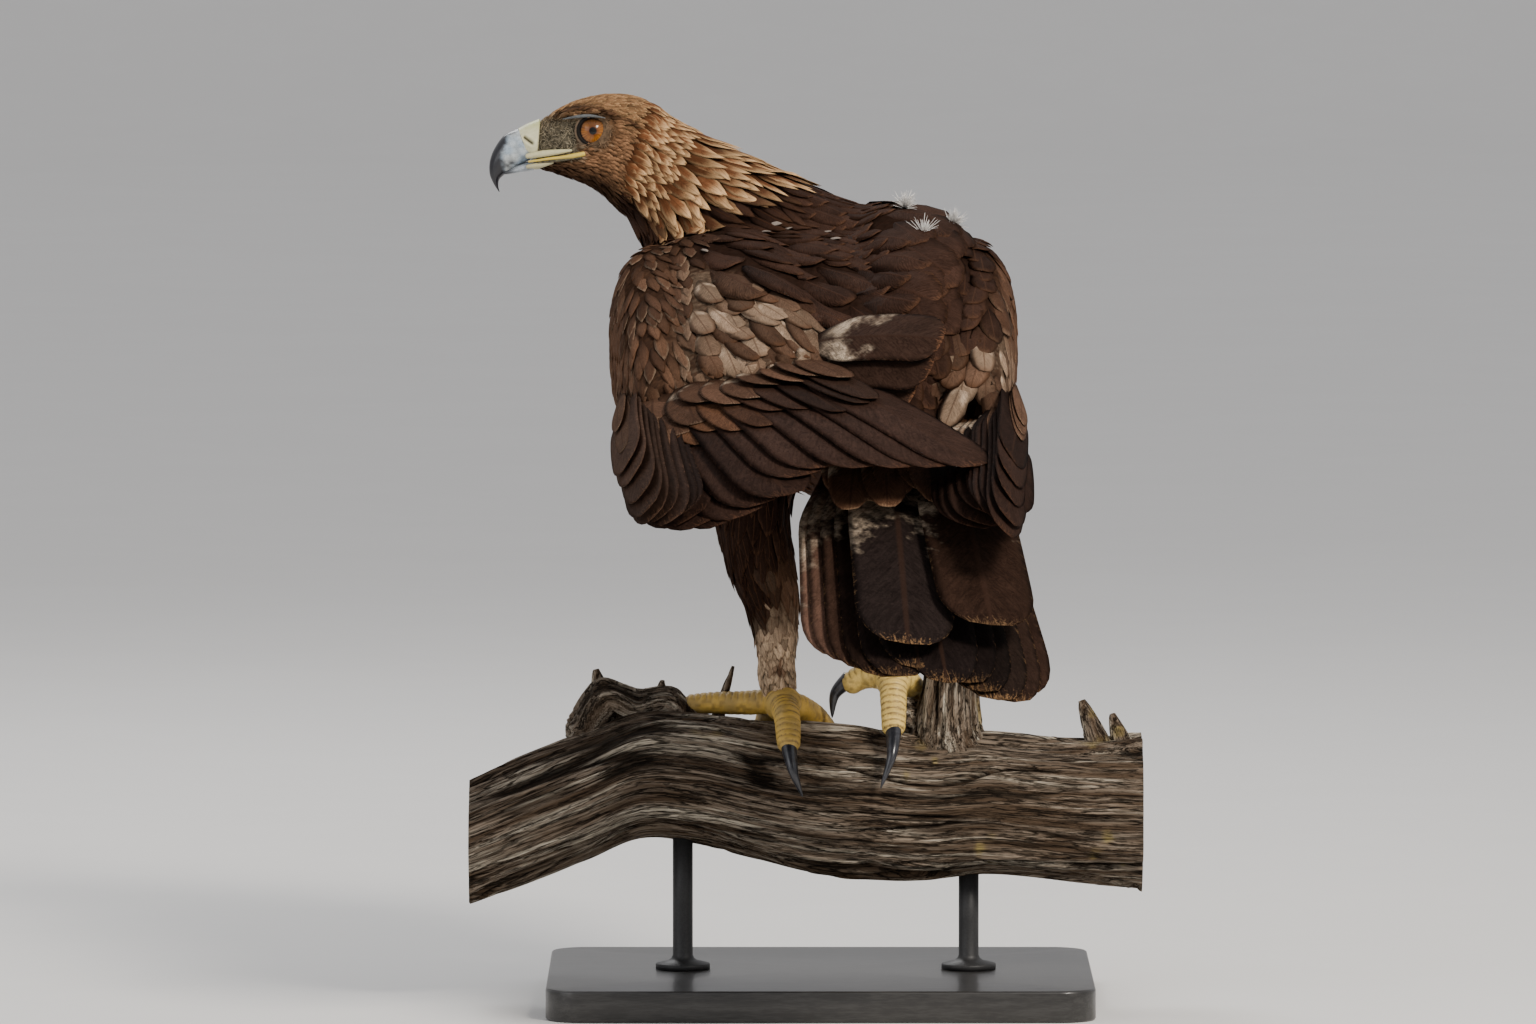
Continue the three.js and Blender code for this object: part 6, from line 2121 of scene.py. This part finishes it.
@dataclass
class Perch:
    """The cut length of weathered branch, with its knob, stub and splinters.

    Attributes:
        rows: Rings along the log.
        sides: Points round it.
        furrow: Depth of the deepest cracks.
        years: Rings of each sawn end.
    """

    rows: int = 250
    sides: int = 320
    furrow: float = 4.6
    years: int = 16
    wood: HardFinish = HardFinish("weathered_wood", (0.07, 0.045, 0.028), 0.7, 1.0, 0.95, 1.0, 0.0016,
                                  gloss=0.1, stretch=(22, 420, 420), own_map=True)

    def bark(self, points: Array, centre: Array, grain: Array) -> tuple[Array, Array]:
        """Furrows the surface: ridges of stretched noise, cut by cracks where another noise is near 0.

        Args:
            points: The surface's points.
            centre: The middle that each sinks towards.
            grain: Coordinates along and round the wood, in millimetres.

        Returns:
            The moved points, and how sunk each is, from 0 to 1.
        """
        sway = [7 * noise(grain / (70, 40, 40), seed) for seed in (1, 2)]
        warp = grain + np.stack([np.zeros(len(grain)), *sway], -1)
        depths = []
        for length, width, thin, share, seed in (
            (520, 12, 0.07, 1.0, 6), (340, 6, 0.10, 0.5, 8), (200, 2.8, 0.2, 0.26, 9),
        ):
            line = np.exp(-((noise(warp / (length, width, width), seed) / thin) ** 2))
            there = 0.1 + 0.9 * ease(-0.3, 0.35, noise(grain / (65, 14, 14), seed + 20))
            depths.append(line * share * there)
        sunk = np.clip(sum(depths), 0, 1)
        swell = noise(warp / (240, 16, 16), 3) * 2.2 + noise(warp / (120, 4.5, 4.5), 4) * 1.2
        swell += noise(warp / (60, 1.7, 1.7), 5) * 0.5
        return points + unit(points - centre) * (swell - self.furrow * sunk)[:, None], sunk

    def coloured(self, shell: Shell, centre: Array, grain: Array) -> Shell:
        """Gives a shell its bark and colours.

        Args:
            shell: The smooth wood.
            centre: The middle that each of its points sinks towards.
            grain: Coordinates along and round the wood.

        Returns:
            The shell itself.
        """
        shell.points, sunk = self.bark(shell.points, centre, grain)
        tone = sum(share * noise(grain / size, seed) for share, size, seed in (
            (0.45, (130, 13, 13), 9), (0.3, (90, 4, 4), 10), (0.4, (50, 1.6, 1.6), 11)))
        colour = blend((0.25, 0.195, 0.145), (0.60, 0.53, 0.42), ease(0.0, 0.42, tone))
        colour = blend(colour, (0.09, 0.06, 0.038), ease(-0.02, -0.36, tone))
        # painted shade: the sunk furrows and cracks darkened nearly to black
        colour = blend(colour, (0.008, 0.006, 0.004), np.clip(sunk * 1.5, 0, 1) * 0.96)
        lichen = ease(0.4, 0.75, noise(shell.points / 10, 12)) * ease(0.25, 0.6, noise(shell.points / 40, 13))
        colour = blend(colour, (0.40, 0.31, 0.10), lichen * 0.6)
        shell.maps = {}
        return shell.painted(Ground=opaque(colour), Grain=opaque(grain * MM))

    def log(self) -> Shell:
        """The log: rings square to its run, its ends sawn off flat with shrinking rings.

        Returns:
            The log, coloured.
        """
        t = np.linspace(0, 1, self.rows)
        middle = smooth(LOG_ROWS, t)
        angle, along_it = circle(self.sides)[None], t[:, None]
        wave = 1 + 0.03 * np.sin(5 * angle + along_it * 9) + 0.025 * np.sin(8 * angle - along_it * 14)
        centre = seen(np.stack([middle[:, 0], np.zeros(self.rows), middle[:, 1]], -1))
        ring = (np.zeros_like(wave), LOG_DEPTH * np.cos(angle), middle[:, 2:] * np.sin(angle))
        rings = centre[:, None] + np.stack(np.broadcast_arrays(*ring), -1) * wave[..., None]
        share = np.linspace(0.97, 0.04, self.years)[:, None, None]
        first, last = (centre[end] + (rings[end] - centre[end]) * share for end in (0, -1))
        shell = tube(np.concatenate([first[::-1], rings, last]), (centre[0], centre[-1]))
        centres = np.pad(centre, ((self.years, self.years), (0, 0)), "edge").repeat(self.sides, 0)
        centres = np.concatenate([centres, shell.points[-2:] + (0, 0, 1e-3)])
        grain = shell.points - centres
        grain[:, 0] = shell.points[:, 0]
        shell = self.coloured(shell, centres, grain)
        shape = shell.points[:-2].reshape(-1, self.sides, 3)
        paint = shell.marks["Ground"][:-2].reshape(-1, self.sides, 4)
        year = (np.arange(self.years) % 2 * 0.5)[:, None] + 0.3 * noise(rings[0] / 9, 16)
        wood = blend((0.34, 0.26, 0.165), (0.15, 0.10, 0.06), year.clip(0, 1))
        n = self.years
        for cap, coat, rim, end in ((shape[:n][::-1], paint[:n][::-1], shape[n], 0),
                                    (shape[-n:], paint[-n:], shape[-n - 1], -1)):
            cap[:] = centre[end] + (rim - centre[end]) * share
            coat[..., :3] = wood
        shell.points[-2:] = centre[[0, -1]]
        return shell

    def branch(self, loft: Loft, rows: int, sides: int, turn: Array) -> Shell:
        """A knob, stub or splinter with the same bark, its grain along its own run.

        Args:
            loft: Its form.
            rows: Rings along it.
            sides: Points round it.
            turn: The two directions that its grain is measured in across its run.

        Returns:
            The shell, coloured.
        """
        shell = loft.closed(rows=rows, sides=sides)
        t = np.linspace(0, 1, 60)
        spine = smooth(loft.at, t)
        reach = np.linalg.norm(loft.at[-1] - loft.at[0])
        near = np.argmin(np.linalg.norm(shell.points[:, None] - spine[None], axis=2), axis=1)
        offset = shell.points - spine[near]
        grain = np.stack([t[near] * reach, offset @ turn[0], offset @ turn[1]], -1) + (300, 0, 0)
        return self.coloured(shell, spine[near], grain)

    def make(self, shop: Workshop) -> None:
        """Makes the perch's two pieces.

        Args:
            shop: Turns each into a piece.
        """
        side, level = np.eye(3)[1:], np.eye(3)[:2]
        knob_run = seen([(-166, 12, 188), (-150, 16, 210), (-128, 17, 204), (-106, 16, 208), (-92, 14, 196)])
        knob = limb(knob_run, (15, 17, 15, 12, 9))
        stub = limb(seen([(92, 2, 168), (89, 3, 190), (90, 5, 228)]), (34, 25, 21), (0, 1, 0), 0.1)
        rest = limb(seen([(92, 14, 184), (74, 12, 193), (57, 9, 202)]), (20, 17, 11))
        shells = [self.branch(knob, 90, 90, side), self.branch(stub, 80, 110, level),
                  self.branch(rest, 40, 60, side)]
        for foot, point, radius in (
            ((-152, 18, 208), (-157, 18, 233), 10), ((-112, 18, 205), (-110, 20, 225), 8),
            ((-72, 16, 196), (-60, 20, 236), 6), ((196, 0, 176), (182, 4, 212), 11),
            ((212, 0, 176), (204, 6, 202), 10), ((97, 6, 215), (110, 8, 236), 9),
        ):
            a, b = seen(foot), seen(point)
            radii = (radius, radius * 0.62, radius * 0.3)
            splinter = limb([a, a + (b - a) * 0.6, b - (b - a) * 0.06], radii, (0, 1, 0), 0.1)
            shells.append(self.branch(splinter, 40, 44, level))
        shop.piece("branch", self.log(), self.wood, "driftwood", "perch")
        shop.piece("branch_knots", Shell.joined(shells), self.wood, "driftwood", "perch")


@dataclass
class Stand:
    """The display stand: a flat base with rounded corners, and two rods on flanges.

    Attributes:
        size: Width, depth and height of the base.
        corner: Radius of its corners.
        bevel: Width of its bevel.
        rods: Where the rods stand across.
    """

    size: tuple[float, float, float] = (380, 300, 22)
    corner: float = 26.0
    bevel: float = 2.0
    rods: tuple[float, float] = (-96, 104)
    lacquer: HardFinish = HardFinish("black_lacquer", (0.05, 0.048, 0.045), 0.5, 30, 0.35, 0.05,
                                     stretch=(1, 8, 8), ground=(0.02, 0.019, 0.018), coat=0.3)
    paint: HardFinish = HardFinish("black_paint", (0.04, 0.04, 0.04), 0.4, 700, 0.5, 0.1,
                                   ground=(0.018, 0.018, 0.019))

    def base(self) -> Shell:
        """The base: rounded rectangles, each point a corner's centre + its radius * (cos, sin).

        Returns:
            The shell.
        """
        width, depth, height = self.size
        turn = (np.arange(72) + 0.5) / 72 * FULL_TURN
        unit_ring = np.stack([np.cos(turn), np.sin(turn), np.zeros(72)], -1)
        centre = np.sign(unit_ring) * (width / 2 - self.corner, depth / 2 - self.corner, 0)
        rings = []
        for turn_up in np.linspace(-90, 90, 12):
            a = math.radians(turn_up)
            inset, level = self.bevel * (1 - math.cos(a)), self.bevel * math.sin(a)
            z = (self.bevel if turn_up < 0 else height - self.bevel) + level
            rings.append(centre + unit_ring * (self.corner - inset) + (0, 0, z))
        return tube(np.stack(rings), (np.zeros(3), np.array([0, 0, height])))

    def rod(self, place: float, top: float) -> Shell:
        """A rod on its flange: circles of the profile's radii.

        Args:
            place: Where it stands across.
            top: Height of its upper end.

        Returns:
            The shell.
        """
        z0 = self.size[2] + 0.3
        flange = ((19, 0), (19, 3.2), (18.6, 3.8), (10, 6), (8, 7.4), (7, 9.5))
        rows = [(r, z0 + up) for r, up in flange] + [(7, (z0 + top) / 2), (7, top)]
        turn = circle(40)
        rings = [np.stack([place + r * np.cos(turn), r * np.sin(turn), np.full(40, z)], -1) for r, z in rows]
        return tube(np.stack(rings), (np.array([place, 0, z0]), np.array([place, 0, top])))

    def make(self, shop: Workshop) -> None:
        """Makes the base and the rods.

        Args:
            shop: Turns each into a piece.
        """
        shop.piece("plinth", self.base(), self.lacquer, "stand_base", "stand_base")
        for i, place in enumerate(self.rods):
            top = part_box(f"stand_rod_{i + 1}")[1][2] / MM
            shop.piece(f"rod_{i + 1}", self.rod(place, top), self.paint, "stand_metal", f"stand_rod_{i + 1}")


@dataclass
class Studio:
    """Camera, lights and a pale floor that curves up behind.

    Attributes:
        distance: From the camera to the picture's middle, in metres.
        width: What the picture spans there.
        middle: The picture's middle, across and up in the picture plane.
        floor: Radius of the floor's flat part, and of the curve round it.
        sensor: Width of the camera's sensor, in millimetres.
        aim: Height that the lights look at.
        sky: Strength of the pale sky.
    """

    distance: float = 9.0
    width: float = 1.0752
    middle: tuple[float, float] = (-0.0364, 0.3416)
    floor: tuple[float, float] = (14.0, 4.0)
    sensor: float = 36.0
    aim: float = 0.4
    sky: float = 0.62
    paper: HardFinish = HardFinish("pale_paper", (0.80, 0.79, 0.77), 0.5, 3, 0.9, 0.0,
                                   ground=(0.78, 0.77, 0.75))

    def camera(self) -> None:
        """Places the camera behind the bird, looking down by the tilt."""
        data = bpy.data.cameras.new("camera")
        data.sensor_width, data.lens = self.sensor, self.sensor * self.distance / self.width
        data.clip_end = 50
        thing = placed("camera", data)
        across, up = self.middle
        thing.location = (
            across,
            up * math.sin(TILT) - self.distance * math.cos(TILT),
            up * math.cos(TILT) + self.distance * math.sin(TILT),
        )
        thing.rotation_euler = (math.pi / 2 - TILT, 0, 0)
        bpy.context.scene.camera = thing

    def light(self, name: str, place: tuple, power: float, size: float, colour: tuple = (1, 1, 1)) -> None:
        """Places an area light that looks at the bird.

        Args:
            name: The light's name.
            place: Where it stands.
            power: In watts.
            size: Of its side.
            colour: Of its light.
        """
        data = bpy.data.lights.new(name, "AREA")
        data.energy, data.size, data.color = power, size, colour
        thing = placed(name, data)
        x, y, z = np.array(place) - (0, 0, self.aim)
        thing.location = place
        thing.rotation_euler = (math.atan2(math.hypot(x, y), z), 0, math.atan2(x, -y))

    def bowl(self, shop: Workshop) -> None:
        """The floor: rings of one flat disc that curve up in a quarter circle, out past the camera.

        Args:
            shop: Makes the floor's material.
        """
        turn = np.linspace(0, math.pi / 2, 16)
        flat, rise = self.floor
        radius = np.concatenate([[1.0, flat / 2], flat + rise * np.sin(turn)])
        z = np.concatenate([[0.0, 0.0], rise * (1 - np.cos(turn))])
        sides = 96
        around = circle(sides)
        x, y = (radius[:, None] * f(around) for f in (np.cos, np.sin))
        rings = np.stack(np.broadcast_arrays(x, y, z[:, None]), -1)
        i, j = np.meshgrid(np.arange(len(radius) - 1) * sides, np.arange(sides), indexing="ij")
        k = (j + 1) % sides
        faces = np.stack([i + j, i + sides + j, i + sides + k, i + k], -1).reshape(-1, 4)
        hub, none = (np.full(sides, number) for number in (len(radius) * sides, -1))
        middle = np.stack([hub, j[0], k[0], none], -1)
        points = np.concatenate([rings.reshape(-1, 3), np.zeros((1, 3))]) / MM
        shell = Shell(points, np.concatenate([faces, middle]))
        floor = placed("floor", shell.mesh("floor"))
        floor.data.materials.append(shop.material(self.paper))

    def make(self, shop: Workshop) -> None:
        """Makes the floor, the lights and a dim pale sky.

        Args:
            shop: Makes the floor's material.
        """
        self.bowl(shop)
        self.light("key", (1.6, -2.2, 2.4), 130, 0.8, (1, 0.93, 0.84))
        self.light("fill", (-2.2, -1.6, 1.2), 14, 1.6, (0.97, 0.98, 1))
        self.light("rim", (-0.8, 2.0, 2.2), 26, 1.0)
        world = bpy.data.worlds.new("sky")
        world.use_nodes = True
        background = world.node_tree.nodes["Background"]
        background.inputs[0].default_value = (0.97, 0.97, 1.0, 1)
        background.inputs[1].default_value = self.sky
        bpy.context.scene.world = world


def make_skin(shop: Workshop, skin: Skin, plumage: Plumage) -> None:
    """Makes the skin's piece: the same markings as its coat, darkened as painted shade under the feathers.

    Args:
        shop: Turns it into a piece.
        skin: The skin.
        plumage: Colours it.
    """
    ground, _ = plumage.markings(skin.place, np.random.default_rng(3))
    # painted shade: the skin is darkened below the colours of the feathers over it
    ground[:, :3] *= SKIN_SHADE_UNDER_FEATHERS
    shell = Shell(skin.points, skin.faces, {"OFBake": skin.place.unrolled[skin.faces]})
    paired = (f"{name}_{side}" for name in ("wing", "thigh", "tarsus") for side in ("left", "right"))
    shop.piece("skin", shell.painted(Ground=ground), SKIN_FINISH, "body_plumage", "torso", "neck", "head",
               "tail", *paired)


def main() -> None:
    """Builds every piece in order."""
    logging.basicConfig(level=logging.INFO, format="%(message)s")
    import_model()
    studio, shop, plumage = Studio(), Workshop(), Plumage()
    studio.camera()
    studio.make(shop)
    Stand().make(shop)
    Perch().make(shop)
    for side in ("left", "right"):
        Foot(side).make(shop)
    Head().make(shop)
    skin = Skin()
    make_skin(shop, skin, plumage)
    Tiers().make(shop)
    Coat(skin, plumage).make(shop)


if __name__ == "__main__":
    main()
